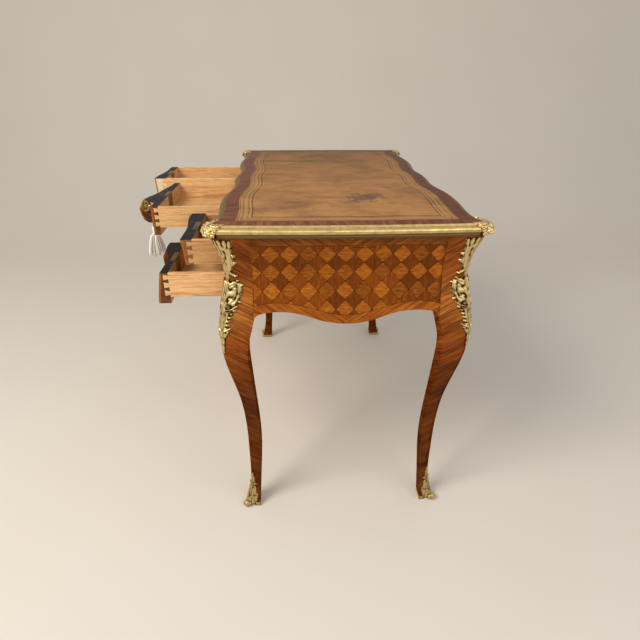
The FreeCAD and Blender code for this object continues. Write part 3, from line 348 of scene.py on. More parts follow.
def parquetry(name, level, framed=False):
    """Parquetry of light diamonds on a red ground, strung with dark lines and dotted where four
    diamonds meet; a framed panel has diagonal banding along its apron and up its stiles."""
    finish, put = new_finish(name)
    x, y, z = place_of(put)
    run = y if level == "Y" else x
    wide, high = sizes().diamond_width, sizes().diamond_height
    panel_top = TOP_LOW.z - sizes().panel_head
    head = panel_top - high / 2
    spots = [put("DIVIDE", put("SUBTRACT", way, start), pitch)
             for way, start, pitch in ((run, sizes().diamond_shift, wide), (z, head, high))]
    cell = [put("ROUND", spot) for spot in spots]
    inside = [apart(put, spot, middle) for spot, middle in zip(spots, cell)]
    reach = put("ADD", *inside)
    light = put("LESS_THAN", reach, 0.5)
    line = put("LESS_THAN", apart(put, reach, 0.5), sizes().diamond_line / wide)
    lot = put("TexWhiteNoise", put("CombineXYZ", *cell, light))
    ground_cell = put("CombineXYZ", *(put("FLOOR", spot) for spot in spots))
    ground_lot = put("TexWhiteNoise", ground_cell)
    figure = streaks(put, z, run, lot, sizes().stripe * 0.5, 5.0)
    ground_figure = streaks(put, run, z, ground_lot, sizes().stripe * 0.5, 9.0)
    bright = put("ValToRGB", figure, stops=[(0.32, "#7C3E10"), (0.50, colours().diamond_light),
                                            (0.68, "#B06E26")])
    ruddy = put("ValToRGB", ground_figure, stops=[(0.30, "#6A3610"),
                                                  (0.52, colours().diamond_ground),
                                                  (0.72, "#9E5C22")])
    bright = shaded(put, bright, lot, 0.0, 1.0, 0.66, 1.15)
    ruddy = shaded(put, ruddy, ground_lot, 0.0, 1.0, 0.62, 1.1)
    field = inlaid(put, put("Mix MIX", light, ruddy, bright), line, 0.55, "#35190B")
    tips = [put("MINIMUM", put("SUBTRACT", 0.5, gap), gap) for gap in inside]
    on_tip = put("LESS_THAN", put("ADD", *tips), 0.05)
    between = put("MULTIPLY", put("GREATER_THAN", reach, 0.3), put("LESS_THAN", reach, 0.7))
    field = inlaid(put, field, put("MULTIPLY", on_tip, between), 0.8, "#1E0E08")
    drift = streaks(put, z, run, 3.0, sizes().crack * 6.0, 5.0)
    crack = put("ADD", put("SUBTRACT", z, head + high * 0.37),
                put("MULTIPLY", put("SUBTRACT", drift, 0.5), sizes().crack * 4.0))
    split = put("LESS_THAN", put("ABSOLUTE", crack), sizes().crack)
    nearby = put("LESS_THAN", apart(put, run, CRACK_MIDDLE), CRACK_REACH)
    field = inlaid(put, field, put("MULTIPLY", split, nearby), 0.8, "#1C0E08")
    if framed:
        panel_low, panel_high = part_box("end_panel_right")
        half = put("ABSOLUTE", run)
        bold = streaks(put, *slanted(put, z, half), put("SIGN", run), sizes().stripe * 1.5, 14.0)
        banding = put("ValToRGB", bold, stops=[(0.30, "#6E3410"), (0.46, "#8A4716"),
                                               (0.58, "#A4601F"), (0.72, "#BE7C34")])
        # The head band is darker under the moulding: darker banding and painted shade together
        banding = shaded(put, banding, z, panel_top, TOP_LOW.z - sizes().panel_head * 0.8,
                         1.0, 0.62)
        crest = put("MINIMUM", put("DIVIDE", half, APRON_CREST), 1.4)
        swing = put("COSINE", put("MULTIPLY", crest, math.pi))
        edge = put("SUBTRACT", panel_low.z + APRON_RISE * 0.5,
                   put("MULTIPLY", swing, APRON_RISE * 0.5))
        over = put("SUBTRACT", put("SUBTRACT", z, edge), sizes().panel_border)
        beside = put("SUBTRACT", panel_high.y - PANEL_MARGIN, half)
        under = put("SUBTRACT", panel_top, z)
        depth = put("MINIMUM", over, put("MINIMUM", beside, under))
        field = put("Mix MIX", put("LESS_THAN", depth, 0.0), field, banding)
        string = put("LESS_THAN", put("ABSOLUTE", depth), sizes().diamond_line * 0.8)
        field = inlaid(put, field, string, 0.7, "#2A140A")
    rough = put("MapRange", figure, 0.0, 1.0, 0.26, 0.42)
    sunk_lines = put("SUBTRACT", figure, line)
    return surfaced(finish, field, rough, (sunk_lines, 0.00025, 0.5), WAXED)


def oak(name, along_axis, light, dark, veneered=False):
    """Planed oak, waxed and handled: straight pale grain with darker pores, almost matt; a
    veneered core shows the thin orange line of its face veneer along its edge."""
    finish, put = new_finish(name)
    spots = dict(zip("XYZ", place_of(put)))
    along = spots.pop(along_axis)
    first, second = spots.values()
    across = put("ADD", first, put("MULTIPLY", second, 1.7))
    lot = put("MULTIPLY", second, 9.0)
    bold = streaks(put, across, along, lot, sizes().oak_ring * 1.6, 16.0, 3.0, 1.0)
    fine = streaks(put, across, along, 2.0, sizes().oak_ring * 0.22, 30.0, 2.0)
    tone = put("ValToRGB", bold, stops=[(0.30, dark), (0.50, light), (0.75, lighter(light, 1.18))])
    tone = lined(put, tone, fine, 0.7, "#A08060", 0.30, 0.52)
    if veneered:
        rim = put("Attribute", attribute_name="from_face").outputs["Fac"]
        line = put("MapRange", rim, sizes().veneer_edge * 0.8, sizes().veneer_edge, 0.9, 0.0)
        tone = put("Mix MIX", line, tone, "#A4602C")
    return surfaced(finish, tone, 0.55, (fine, 0.0003, 0.6), WAXED)


def inked_edge():
    """Beech stained black and rubbed: a blue-black top edge, worn to brown wood in patches,
    with a dull polish that catches the light."""
    finish, put = new_finish("inked_edge")
    x, y = place_of(put)[:2]
    wear = streaks(put, x, y, 0.0, 22 * MM, 1.6, 5.0, 0.8)
    fine = streaks(put, x, y, 6.0, 2.2 * MM, 9.0, 3.0)
    share = put("ValToRGB", wear, stops=[(0.56, "#000000"), (0.70, WHITE)])
    tone = put("Mix MIX", share, colours().ink, colours().ink_worn)
    tone = lined(put, tone, fine, 0.5, "#8A8680", 0.35, 0.6)
    return surfaced(finish, tone, 0.42, (fine, 0.0003, 0.6), WAXED)


def tooled_hide():
    """Calf hide, waxed and a century old: tan, cloudy and scuffed, darker round the rim, with
    blind and gilt lines tooled along its edge by a fillet wheel."""
    finish, put = new_finish("tooled_hide")
    here = put("TexCoord").outputs["Object"]
    x, y = put("SeparateXYZ", here).outputs[:2]
    cloud = put("TexNoise", {"Vector": here, "Scale": 7.0, "Detail": 6.0, "Roughness": 0.6,
                             "Distortion": 0.7})
    long_way = put("Mapping", {"Vector": here, "Scale": (2.2, 1.3, 1.0)})
    drift = put("TexNoise", {"Vector": long_way, "Scale": 9.0, "Detail": 8.0, "Roughness": 0.72,
                             "Distortion": 0.4})
    scuff = put("TexNoise", {"Vector": here, "Scale": 38.0, "Detail": 6.0, "Roughness": 0.7,
                             "Distortion": 1.2})
    grain = put("TexVoronoi", {"Vector": here, "Scale": 1.0 / sizes().hide_grain})
    tone = put("ValToRGB", cloud, stops=[(0.28, "#8C6646"), (0.46, colours().leather),
                                         (0.68, "#BC8A54")])
    tone = lined(put, tone, drift, 0.45, "#8A7462", 0.36, 0.56)
    # Painted shade: the hide darkens towards its far end
    tone = shaded(put, tone, x, *HIDE_SHADE, 0.74, 1.05)
    ragged = put("MULTIPLY", put("SUBTRACT", 0.5, scuff), 6.0)
    for spot_x, spot_y, size_x, size_y, share in HIDE_STAINS:
        near = [put("DIVIDE", put("SUBTRACT", way, spot), size)
                for way, spot, size in ((x, spot_x, size_x), (y, spot_y, size_y))]
        far = put("ADD", *(put("POWER", put("ABSOLUTE", gap), 2.0) for gap in near))
        soft = put("MapRange", put("ADD", far, ragged), 0.1, 1.3, share, 0.0,
                   interpolation_type="SMOOTHSTEP")
        tone = put("Mix MIX", soft, tone, colours().leather_stain)
    rim = put("Attribute", attribute_name="from_edge").outputs["Fac"]
    waver = put("MULTIPLY", put("SUBTRACT", drift, 0.5), 1.6 * MM)
    from_edge = put("ADD", rim, waver)
    to_end = put("SUBTRACT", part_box("top_leather")[1].x, put("ABSOLUTE", x))
    at_end = put("LESS_THAN", put("SUBTRACT", to_end, rim), 6 * MM)
    broader = put("MapRange", at_end, 0.0, 1.0, 1.0, 0.5)
    kept = put("MapRange", drift, 0.3, 0.6, 1.0, 0.55)
    for place, half_width, line_tone, share in TOOLED_LINES:
        off = put("MULTIPLY", apart(put, from_edge, place * MM), broader)
        mark = put("MapRange", off, half_width * MM * 0.5, half_width * MM, share, 0.0)
        tone = put("Mix MIX", put("MULTIPLY", mark, kept), tone, line_tone)
    rough = put("MapRange", drift, 0.0, 1.0, 0.34, 0.56)
    return surfaced(finish, tone, rough, (put("ADD", grain, drift), 0.0004, 0.35), WAXED)


def gilded(name, smooth, grain, worn, bright=None):
    """Cast and chased brass, fire-gilt long ago: pale gold where it is burnished, olive brown in
    the hollows, as patina where the gilding never took the polish and as painted shade."""
    finish, put = new_finish(name)
    here = put("TexCoord").outputs["Object"]
    cloud = put("TexNoise", {"Vector": here, "Scale": 60.0, "Detail": 5.0, "Roughness": 0.6})
    grit = put("TexNoise", {"Vector": here, "Scale": 700.0, "Detail": 2.0})
    # The hollow attribute holds patina and painted shade; both darken the gilt here
    deep = put("MapRange", put("Attribute", attribute_name="hollow").outputs["Fac"], 0.15, 0.85)
    dull = put("MapRange", cloud, 0.38, 0.72, 0.0, 0.55)
    dull = put("MAXIMUM", put("MULTIPLY", dull, 0.7), deep)
    dull = put("MAXIMUM", dull, worn)
    tone = put("Mix MIX", dull, bright or colours().gilt, colours().gilt_shade)
    rough = put("MapRange", dull, 0.0, 1.0, smooth, 0.6)
    return surfaced(finish, tone, rough, (grit, 0.0002, grain), METAL)


def worn_brass(name, tone):
    """Cast and filed brass handled for years: mottled brown and bright at random, smoother where
    bright.
    """
    finish, put = new_finish(name)
    cloud = put("TexNoise", {"Vector": put("TexCoord").outputs["Object"], "Scale": 160.0,
                             "Detail": 6.0, "Roughness": 0.65})
    shown = put("ValToRGB", cloud, stops=[(0.34, "#4C3A20"), (0.56, tone),
                                          (0.72, lighter(tone, 1.5))])
    rough = put("MapRange", cloud, 0.0, 1.0, 0.5, 0.26)
    return surfaced(finish, shown, rough, (cloud, 0.0002, 0.4), METAL)


def spun_silk(name, light, dark):
    """Twisted silk: soft, slightly lustrous threads, with grey painted shade in the depth between
    them.
    """
    finish, put = new_finish(name)
    lot = put("Attribute", attribute_name="thread").outputs["Fac"]
    mottle = put("TexNoise", {"Vector": put("TexCoord").outputs["Object"], "Scale": 260.0,
                              "Detail": 2.0})
    share = put("ADD", put("MULTIPLY", lot, 0.75), put("MULTIPLY", mottle, 0.25))
    tone = put("ValToRGB", share, stops=[(0.15, dark), (0.55, light), (0.95, lighter(light, 1.1))])
    return surfaced(finish, tone, 0.6, (mottle, 0.0002, 0.4), SILKEN)


# Pieces

def placed(name, data):
    """A new object of the scene that holds this data."""
    made = bpy.data.objects.new(name, data)
    bpy.context.scene.collection.objects.link(made)
    return made


def smoothed(name, mesh, finishes):
    """Turns a bmesh into smooth mesh data with its finishes."""
    data = bpy.data.meshes.new(name)
    mesh.to_mesh(data)
    mesh.free()
    for finish in finishes:
        data.materials.append(finish)
    data.shade_smooth()
    return data


def piece(name, mesh, finishes, node, crisp=None, body="carcass"):
    """Turns a bmesh into a finished piece that stands for a CAD node and rides on a body. Edges
    that turn by more than crisp degrees look sharp."""
    data = smoothed(name, mesh, finishes)
    if crisp is not None:
        data.set_sharp_from_angle(angle=math.radians(crisp))
    made = placed(name, data)
    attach(made, body)
    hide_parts(node)
    return made


def solid_of(node):
    mesh = bmesh.new()
    mesh.from_mesh(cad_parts[node].data)
    return mesh


def copied(node, ease=0.0, flat=2.0):
    """A merged copy of a solid with its flat faces whole and its sharp edges eased."""
    mesh = solid_of(node)
    bmesh.ops.remove_doubles(mesh, verts=mesh.verts, dist=1e-6)
    bmesh.ops.dissolve_limit(mesh, angle_limit=math.radians(flat), verts=mesh.verts,
                             edges=mesh.edges)
    if ease:
        sharp = [e for e in mesh.edges
                 if len(e.link_faces) == 2 and e.calc_face_angle(0.0) > SHARP_ANGLE]
        bmesh.ops.bevel(mesh, geom=sharp, offset=ease, segments=2, profile=0.5,
                        affect="EDGES", material=-1, clamp_overlap=True)
    return mesh


def skin_of(node):
    """The surface of a solid, for finding how far away it is."""
    mesh = solid_of(node)
    skin = BVHTree.FromBMesh(mesh)
    mesh.free()
    return skin


def dressed(node, name, finishes, ease=0.0, chooser=None, flat=2.0, body="carcass"):
    """A copy of a solid that stands for it, with a finish chosen for each face."""
    mesh = copied(node, ease, flat)
    if chooser:
        for face in mesh.faces:
            face.material_index = chooser(face)
    piece(name, mesh, finishes, node, 30.0, body)


def whole(mesh):
    return mesh.verts[:] + mesh.edges[:] + mesh.faces[:]


def only_verts(made):
    """The vertices among what an operator gives back."""
    return [item for item in made["geom"] if isinstance(item, bmesh.types.BMVert)]


def closed(mesh):
    bmesh.ops.holes_fill(mesh, edges=[e for e in mesh.edges if e.is_boundary], sides=0)


def mirrored(mesh):
    """Repeats one corner of the table at the other three."""
    for axis in ("X", "Y"):
        bmesh.ops.mirror(mesh, geom=whole(mesh), matrix=Matrix.Identity(4), axis=axis)


def gridded(mesh, low, high, axis, pitch):
    """Cuts a mesh by evenly spaced planes."""
    count = int((high - low).dot(axis) / pitch)
    for index in range(1, count):
        at = low + (high - low) * (index / count)
        bmesh.ops.bisect_plane(mesh, geom=whole(mesh), dist=1e-7, plane_co=at, plane_no=axis)


def lofted(mesh, rings):
    """Joins rings of vertices into a closed tube."""
    for near, far in zip(rings, rings[1:]):
        for corners in zip(near, near[1:] + near[:1], far[1:] + far[:1], far):
            mesh.faces.new(corners)
    mesh.faces.new(reversed(rings[0]))
    mesh.faces.new(rings[-1])


def settled(carrier):
    """The mesh that a curve or an object with a modifier gives; the object goes."""
    bpy.context.view_layer.update()
    ready = carrier.evaluated_get(bpy.context.evaluated_depsgraph_get())
    data = bpy.data.meshes.new_from_object(ready)
    bpy.data.objects.remove(carrier)
    return data


def evenly_meshed(block, grid):
    """A solid remade in small even faces, ready for carving."""
    carrier = placed("block", smoothed("block", block, []))
    remesh = carrier.modifiers.new("even", "REMESH")
    remesh.mode = "VOXEL"
    remesh.voxel_size = grid
    mesh = bmesh.new()
    mesh.from_mesh(settled(carrier))
    bmesh.ops.recalc_face_normals(mesh, faces=mesh.faces)
    return mesh


def carved(mesh, worked):
    """Pushes each vertex along its normal, and notes how deep in a hollow it lies. What worked
    gives for a vertex is the push in metres and the hollow."""
    layer = mesh.verts.layers.float.new("hollow")
    mesh.normal_update()
    pushes = []
    for vert in mesh.verts:
        push, hollow = worked(vert.co)
        pushes.append(vert.normal * push)
        vert[layer] = min(1.0, max(0.0, hollow))
    for vert, push in zip(mesh.verts, pushes):
        vert.co += push


# Camera: place in metres, lens in millimetres on a 36 mm sensor, and yaw, pitch and roll
CAMERA_PLACE = (1.4448, -0.1135, 1.0440)
CAMERA_LENS = 27.77
CAMERA_TURN = (3.2984, 26.9957, 0.3675)
# Floor, in metres: half its side, how far it is moved towards the camera, the height of the
# backdrop at its far edge, and the radius of the cove between them
FLOOR_HALF, FLOOR_SHIFT, BACKDROP, COVE = 4.0, 1.0, 4.0, 1.5
# Lamps: name, place, what each one is aimed at, size, power and colour
LAMPS = [
    ("key_lamp", (1.6, -1.9, 2.6), (0.0, 0.0, 0.5), (1.4, 1.4), 64.0, "#FFF4E6"),
    ("fill_lamp", (2.2, 1.6, 1.8), (0.0, 0.0, 0.5), (2.0, 2.0), 14.0, "#F4F4FF"),
    ("strip_lamp", (2.4, -0.1, 1.45), (0.5, 0.0, 0.75), (2.6, 0.4), 8.0, "#F6F8FF"),
]


class TABLE_OT_stage(bpy.types.Operator):
    """Lays the pale floor and backdrop, sets the lamps and stands the camera"""
    bl_idname = "table.stage"
    bl_label = "Stage"

    def execute(self, context):
        mesh = bmesh.new()
        bmesh.ops.create_grid(mesh, x_segments=1, y_segments=1, size=FLOOR_HALF)
        bmesh.ops.translate(mesh, verts=mesh.verts, vec=ALONG_X * FLOOR_SHIFT)
        far = [e for e in mesh.edges if all(v.co.x < 0.0 for v in e.verts)]
        lifted = only_verts(bmesh.ops.extrude_edge_only(mesh, edges=far))
        bmesh.ops.translate(mesh, verts=lifted, vec=ALONG_Z * BACKDROP)
        bmesh.ops.bevel(mesh, geom=far, offset=COVE, segments=24, profile=0.5, affect="EDGES",
                        material=-1)
        finish, put = new_finish("pale_floor")
        cloud = put("TexNoise", {"Vector": put("TexCoord").outputs["Object"], "Scale": 2.0})
        surfaced(finish, put("Mix MIX", cloud, "#E4E0D8", "#E9E6DF"), 0.8)
        placed("pale_floor", smoothed("pale_floor", mesh, [finish]))
        self.light(context)
        self.stand_camera(context)
        return {"FINISHED"}

    def light(self, context):
        world = context.scene.world = bpy.data.worlds.new("studio")
        world.use_nodes = True
        world.node_tree.nodes.clear()
        put = partial(add_node, world.node_tree)
        path = put("LightPath").outputs
        seen = put("MAXIMUM", path["Is Camera Ray"], path["Is Glossy Ray"])
        soft = put("Background", "#FFF8EE", 0.42)
        shown = put("Background", "#D9D8D4", 1.0)
        put("OutputWorld", put("MixShader", seen, soft, shown))
        for name, place, target, size, power, tone in LAMPS:
            lamp = bpy.data.lights.new(name, "AREA")
            lamp.shape = "RECTANGLE"
            lamp.size, lamp.size_y = size
            lamp.energy = power
            lamp.color = linear(tone)
            stand = placed(name, lamp)
            stand.location = place
            aim = Vector(target) - Vector(place)
            stand.rotation_euler = aim.to_track_quat("-Z", "Y").to_euler()

    def stand_camera(self, context):
        data = bpy.data.cameras.new("camera")
        data.sensor_width = 36.0
        data.lens = CAMERA_LENS
        yaw, pitch, roll = (math.radians(a) for a in CAMERA_TURN)
        ahead = Vector((-math.cos(yaw) * math.cos(pitch), math.sin(yaw) * math.cos(pitch),
                        -math.sin(pitch)))
        level = Vector((math.sin(yaw), math.cos(yaw), 0.0))
        over = level.cross(ahead)
        right = level * math.cos(roll) + over * math.sin(roll)
        up = over * math.cos(roll) - level * math.sin(roll)
        turn = Matrix((right, up, -ahead)).transposed()
        camera = context.scene.camera = placed("camera", data)
        camera.matrix_world = Matrix.Translation(CAMERA_PLACE) @ turn.to_4x4()
        context.scene.view_settings.view_transform = "Standard"


# Outline of the top in millimetres: crests and hollows of its front edge from the middle out,
# the tip of its flare, its rounded corner, its ends, and how much of each way a clasp covers
EDGE_CRESTS = [(0.0, 260.0), (100.0, 253.5), (255.0, 267.5), (425.0, 258.0)]
EDGE_FLARE = (475.0, 275.5)
EDGE_CORNER_RADIUS = 11.0
EDGE_HALF_LENGTH = 500.0
CLASP_ARM = 9.0
CLASP_SIDE = 14.0


def turned(vector, angle):
    """A level vector turned about Z."""
    return Matrix.Rotation(angle, 3, "Z") @ vector


def arc_between(start, heading, finish):
    """Centre and angle of the arc that leaves start along heading and ends at finish."""
    chord = finish - start
    turn = 2.0 * math.atan2(heading.x * chord.y - heading.y * chord.x, heading.dot(chord))
    radius = chord.length / (2.0 * math.sin(turn / 2.0))
    return start + turned(heading, math.pi / 2) * radius, turn


def front_route():
    """Points of the front edge at +X, from the middle to where the clasp covers it, and the end
    of its rounded corner."""
    crests = [Vector((x, -y, 0.0)) * MM for x, y in EDGE_CRESTS]
    route = [crests[0]]
    for first, second in zip(crests, crests[1:]):
        route += [(first + second) / 2, second]
    tip = Vector((EDGE_FLARE[0], -EDGE_FLARE[1], 0.0)) * MM
    centre, turn = arc_between(crests[-1], ALONG_X, tip)
    reach = (EDGE_FLARE[0] - CLASP_ARM) * MM - crests[-1].x
    part = math.asin(reach / (crests[-1] - centre).length)
    arm = centre + turned(crests[-1] - centre, math.copysign(part, turn))
    hub = tip + turned(turned(ALONG_X, turn), math.pi / 2) * EDGE_CORNER_RADIUS * MM
    return route + [arm], hub + ALONG_X * EDGE_CORNER_RADIUS * MM


def end_route(corner):
    """Points of the end at +X, from its middle to where the clasp covers it."""
    middle = ALONG_X * EDGE_HALF_LENGTH * MM
    bow = middle.x - corner.x
    radius = (bow * bow + corner.y ** 2) / (2.0 * bow)
    half = (EDGE_FLARE[1] - CLASP_SIDE) * MM
    return [middle, Vector((middle.x - radius + math.sqrt(radius ** 2 - half ** 2), half, 0.0))]


def round_profile(centre, radius, start, finish, count):
    """Points of a round stretch of a moulding's profile, in degrees from outwards."""
    points = []
    for index in range(count + 1):
        angle = math.radians(start + (finish - start) * index / count)
        points.append((centre[0] + radius * math.cos(angle), centre[1] + radius * math.sin(angle)))
    return points


def reeded_profile():
    """Two small reeds, a big torus and a hollow below, as millimetres out and up."""
    return [(0.0, 25.0),
            *round_profile((1.9, 23.9), 1.1, 120, 0, 6),
            *round_profile((4.6, 22.6), 1.5, 140, -10, 7),
            *round_profile((7.0, 14.2), 7.0, 78, -62, 16),
            *round_profile((11.4, 5.6), 2.4, 150, 250, 6),
            (9.2, 1.8), (8.6, 0.6), (6.0, 0.0), (0.0, 0.0)]


class TABLE_OT_mouldings(bpy.types.Operator):
    """Turns the reeded brass moulding round the edge of the top"""
    bl_idname = "table.mouldings"
    bl_label = "Edge mouldings"

    def execute(self, context):
        mesh = bmesh.new()
        front, corner = front_route()
        self.along(mesh, front, ALONG_X, 12)
        self.along(mesh, end_route(corner), ALONG_Y, 24)
        mirrored(mesh)
        bmesh.ops.remove_doubles(mesh, verts=mesh.verts, dist=2e-6)
        closed(mesh)
        bmesh.ops.recalc_face_normals(mesh, faces=mesh.faces)
        layer = mesh.verts.layers.float.new("hollow")
        # Painted shade on the moulding's underside, and a painted dark reflection along its front
        # and back
        for vert in mesh.verts:
            under = min(0.7, max(0.0, (TOP_LOW.z + 12 * MM - vert.co.z) / (8 * MM)))
            along_front = abs(vert.co.x) < (EDGE_HALF_LENGTH - 30) * MM
            vert[layer] = max(under, 0.62 if along_front else 0.0)
        gilt = gilded("gilt_moulding", 0.26, 0.02, 0.0, "#E0C080")
        piece("reeded_mouldings", mesh, [gilt], "edge_mouldings", 40.0)
        return {"FINISHED"}

    def along(self, mesh, route, heading, steps):
        """Spins the profile about the centre of each arc in turn."""
        side = turned(heading, -math.pi / 2)
        foot = route[0] + ALONG_Z * TOP_LOW.z
        verts = [mesh.verts.new(foot + side * (out * MM) + ALONG_Z * (up * MM))
                 for out, up in reeded_profile()]
        geometry = verts + [mesh.edges.new(pair) for pair in zip(verts, verts[1:] + verts[:1])]
        for start, finish in zip(route, route[1:]):
            centre, turn = arc_between(start, heading, finish)
            geometry = bmesh.ops.spin(mesh, geom=geometry, cent=centre, axis=ALONG_Z, angle=turn,
                                      steps=steps)["geom_last"]
            heading = turned(heading, turn)


class TABLE_OT_top(bpy.types.Operator):
    """Lays the crossbanding and the tooled leather of the top"""
    bl_idname = "table.top"
    bl_label = "Top"

    def execute(self, context):
        banding = tulipwood_banding("crossbanding", colours().banding_orange,
                                    colours().banding_red, False)
        under = oak("stained_underside", "X", "#6B4526", "#3E2413")
        dressed("top_board", "crossbanded_board", [banding, under],
                chooser=lambda face: 0 if face.normal.z > 0.5 else 1)
        mesh = copied("top_leather")
        rim = mesh.copy()
        flat = [face for face in rim.faces if abs(face.normal.z) > 0.5]
        bmesh.ops.delete(rim, geom=flat, context="FACES_ONLY")
        walls = BVHTree.FromBMesh(rim)
        rim.free()
        low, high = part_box("top_leather")
        for axis in (ALONG_X, ALONG_Y):
            gridded(mesh, low, high, axis, 4 * MM)
        layer = mesh.verts.layers.float.new("from_edge")
        for vert in mesh.verts:
            vert[layer] = walls.find_nearest(vert.co)[3]
        piece("leather_top", mesh, [tooled_hide()], "top_leather", 30.0)
        return {"FINISHED"}


class TABLE_OT_legs(bpy.types.Operator):
    """Veneers the four cabriole legs"""
    bl_idname = "table.legs"
    bl_label = "Legs"

    def execute(self, context):
        finishes = [tulipwood_diagonal("tulipwood_diagonal", WAXED),
                    tulipwood_diagonal("tulipwood_diagonal_dry", DRY)]
        for corner, (side_x, side_y) in CORNERS.items():
            def polished(face):
                shown = max(face.normal.x * side_x, face.normal.y * side_y)
                return 0 if shown > 0.97 else 1

            dressed("leg_" + corner, "veneered_leg_" + corner, finishes,
                    0.8 * MM, polished, 0.05)
        return {"FINISHED"}


# Carving of one knee mount: millimetres from the ridge of the leg and up from the floor.
# Each stroke is a row of points, its half width at both ends, and how high it stands.
# The ground is the thin plate under the carving.
CHUTE_GROUND = [
    ([(13, 742), (9, 705), (5, 668)], 15.0, 6.0, 2.0),
    ([(3, 672), (4, 644)], 6.5, 7.5, 2.0),
    ([(10, 640), (12, 618), (9, 594)], 11.0, 10.0, 2.6),
    ([(17, 635), (20, 610)], 14.0, 11.5, 2.6),
    ([(6, 594), (5, 570), (3, 545)], 11.0, 8.0, 2.0),
]
CHUTE_STROKES = [
    ([(0, 741), (0, 700), (0, 676), (0, 648)], 5.0, 4.0, 3.6),
    ([(5, 668), (8, 700), (11, 722), (13, 741)], 3.4, 4.4, 3.0),
    ([(6, 668), (13, 695), (19, 718), (23, 741)], 3.0, 4.4, 3.2),
    ([(7, 668), (17, 697), (25, 722), (33, 738)], 2.8, 3.6, 3.4),
    ([(8, 668), (17, 688), (23, 700), (27, 707)], 3.0, 2.6, 4.0),
    ([(8, 670), (16, 683), (24, 692)], 2.6, 2.0, 3.6),
    ([(7, 676), (13, 667), (20, 663)], 2.8, 2.2, 3.6),
    ([(2, 668), (4, 656), (5, 646)], 5.0, 4.5, 3.2),
    ([(19, 641), (13, 638), (13, 645), (20, 649), (28, 645), (32, 634), (32, 620),
      (28, 608), (22, 602), (16, 606), (20, 611)], 3.0, 4.0, 5.4),
    ([(29, 636), (36, 643)], 4.4, 2.4, 3.4),
    ([(31, 622), (37, 625)], 4.6, 2.6, 3.4),
    ([(29, 610), (36, 607)], 4.2, 2.4, 3.2),
    ([(22, 645), (25, 652)], 4.0, 2.2, 3.4),
    ([(9, 640), (7, 630), (8, 618), (8, 606), (5, 598)], 3.4, 3.8, 5.0),
    ([(13, 643), (8, 649), (4, 645)], 2.2, 2.6, 4.6),
    ([(22, 635), (25, 625), (22, 615)], 3.6, 3.0, 3.8),
    ([(0, 646), (1, 628), (1, 606), (0, 590)], 3.4, 3.6, 5.0),
    ([(32, 599), (22, 592), (12, 590), (5, 593), (4, 600), (8, 602)], 1.7, 2.2, 5.4),
    ([(24, 608), (35, 607)], 2.6, 1.2, 3.0),
    ([(3, 590), (3, 565), (2, 543)], 2.8, 2.2, 3.2),
    ([(8.5, 590), (8, 566), (6, 545)], 2.8, 2.0, 2.9),
    ([(14, 590), (13, 570), (9, 550)], 2.8, 1.8, 2.6),
    ([(21, 549), (14, 545), (6, 541), (4, 535)], 2.0, 2.6, 4.4),
    ([(18, 541), (13, 534), (9, 527)], 2.8, 2.0, 4.0),
    ([(0, 592), (0, 540), (0, 510), (0, 488)], 5.0, 2.4, 3.4),
    ([(9, 535), (7, 516), (3, 496), (1, 488)], 3.8, 1.6, 3.0),
    ([(4, 540), (4, 520), (2, 498)], 2.8, 2.0, 3.6),
]
# Beads of one knee mount: place, radius and height
CHUTE_BEADS = [
    (27, 707.5, 3.4, 5.0), (24.5, 692, 2.8, 4.4), (21, 662.5, 3.5, 5.2),
    (18, 625, 7.2, 5.6), (15, 613, 3.4, 4.8), (4.8, 597, 3.0, 6.2),
    (26.5, 588.5, 3.5, 4.8), (22, 581, 3.4, 4.8), (18, 573.5, 3.2, 4.6),
    (15.5, 565.5, 3.1, 4.4), (14.5, 557, 3.1, 4.4), (13, 549, 2.6, 4.2), (17, 541, 3.4, 4.8),
]
# Height in millimetres of what lies under the leg's surface and is cut away, and of the narrow
# web that joins neighbouring forms
SUNK, WEB = -1.2, 0.7
# A place far outside a stroke, as a share of its half width
FAR = 9.0
# Knee mount: its lowest and highest point and half its width in millimetres, the grid that it
# is raised from, and the thickness of its casting in metres
CHUTE_LOW, CHUTE_HIGH, CHUTE_HALF = 486.0, 742.0, 26.5
CHUTE_GRID = (74, 300)
CHUTE_WALL = 0.003
# A point of each leg's faces at +X, +Y and a point outside them, in metres
LEG_PLACE, OUTSIDE = (0.46, 0.225), (0.6, 0.4)
# Slanting ends of the clasp at +X, -Y: a point of each in millimetres, and which way it faces
CLASP_CUTS = [
    ((495.0, -247.0, 772.0), (10.0, 25.0, -17.0)),
    ((453.0, -268.0, 772.0), (-25.0, -10.0, -17.0)),
]
# Toe of a shoe in metres: how far its middle lies in from the shoe's corner, and its radius
TOE_INSET, TOE_RADIUS = 0.015, 0.012
TOE_HEIGHT = 0.72
# Seeds of the clasps' curls and of the tassel's threads
CURL_SEED, THREAD_SEED = 1795901606, 11


def near_stroke(across, up, points, start, finish):
    """Distance from a stroke's middle line as a share of its half width, at most FAR."""
    reach = max(start, finish)
    xs, zs = zip(*points)
    if not (min(xs) - reach < across < max(xs) + reach and min(zs) - reach < up < max(zs) + reach):
        return FAR
    nearest = FAR
    steps = len(points) - 1
    for index, ((x0, z0), (x1, z1)) in enumerate(zip(points, points[1:])):
        run_x, run_z = x1 - x0, z1 - z0
        share = ((across - x0) * run_x + (up - z0) * run_z) / (run_x * run_x + run_z * run_z)
        share = min(1.0, max(0.0, share))
        gap = math.hypot(across - x0 - run_x * share, up - z0 - run_z * share)
        width = start + (finish - start) * (index + share) / steps
        nearest = min(nearest, gap / width)
    return nearest


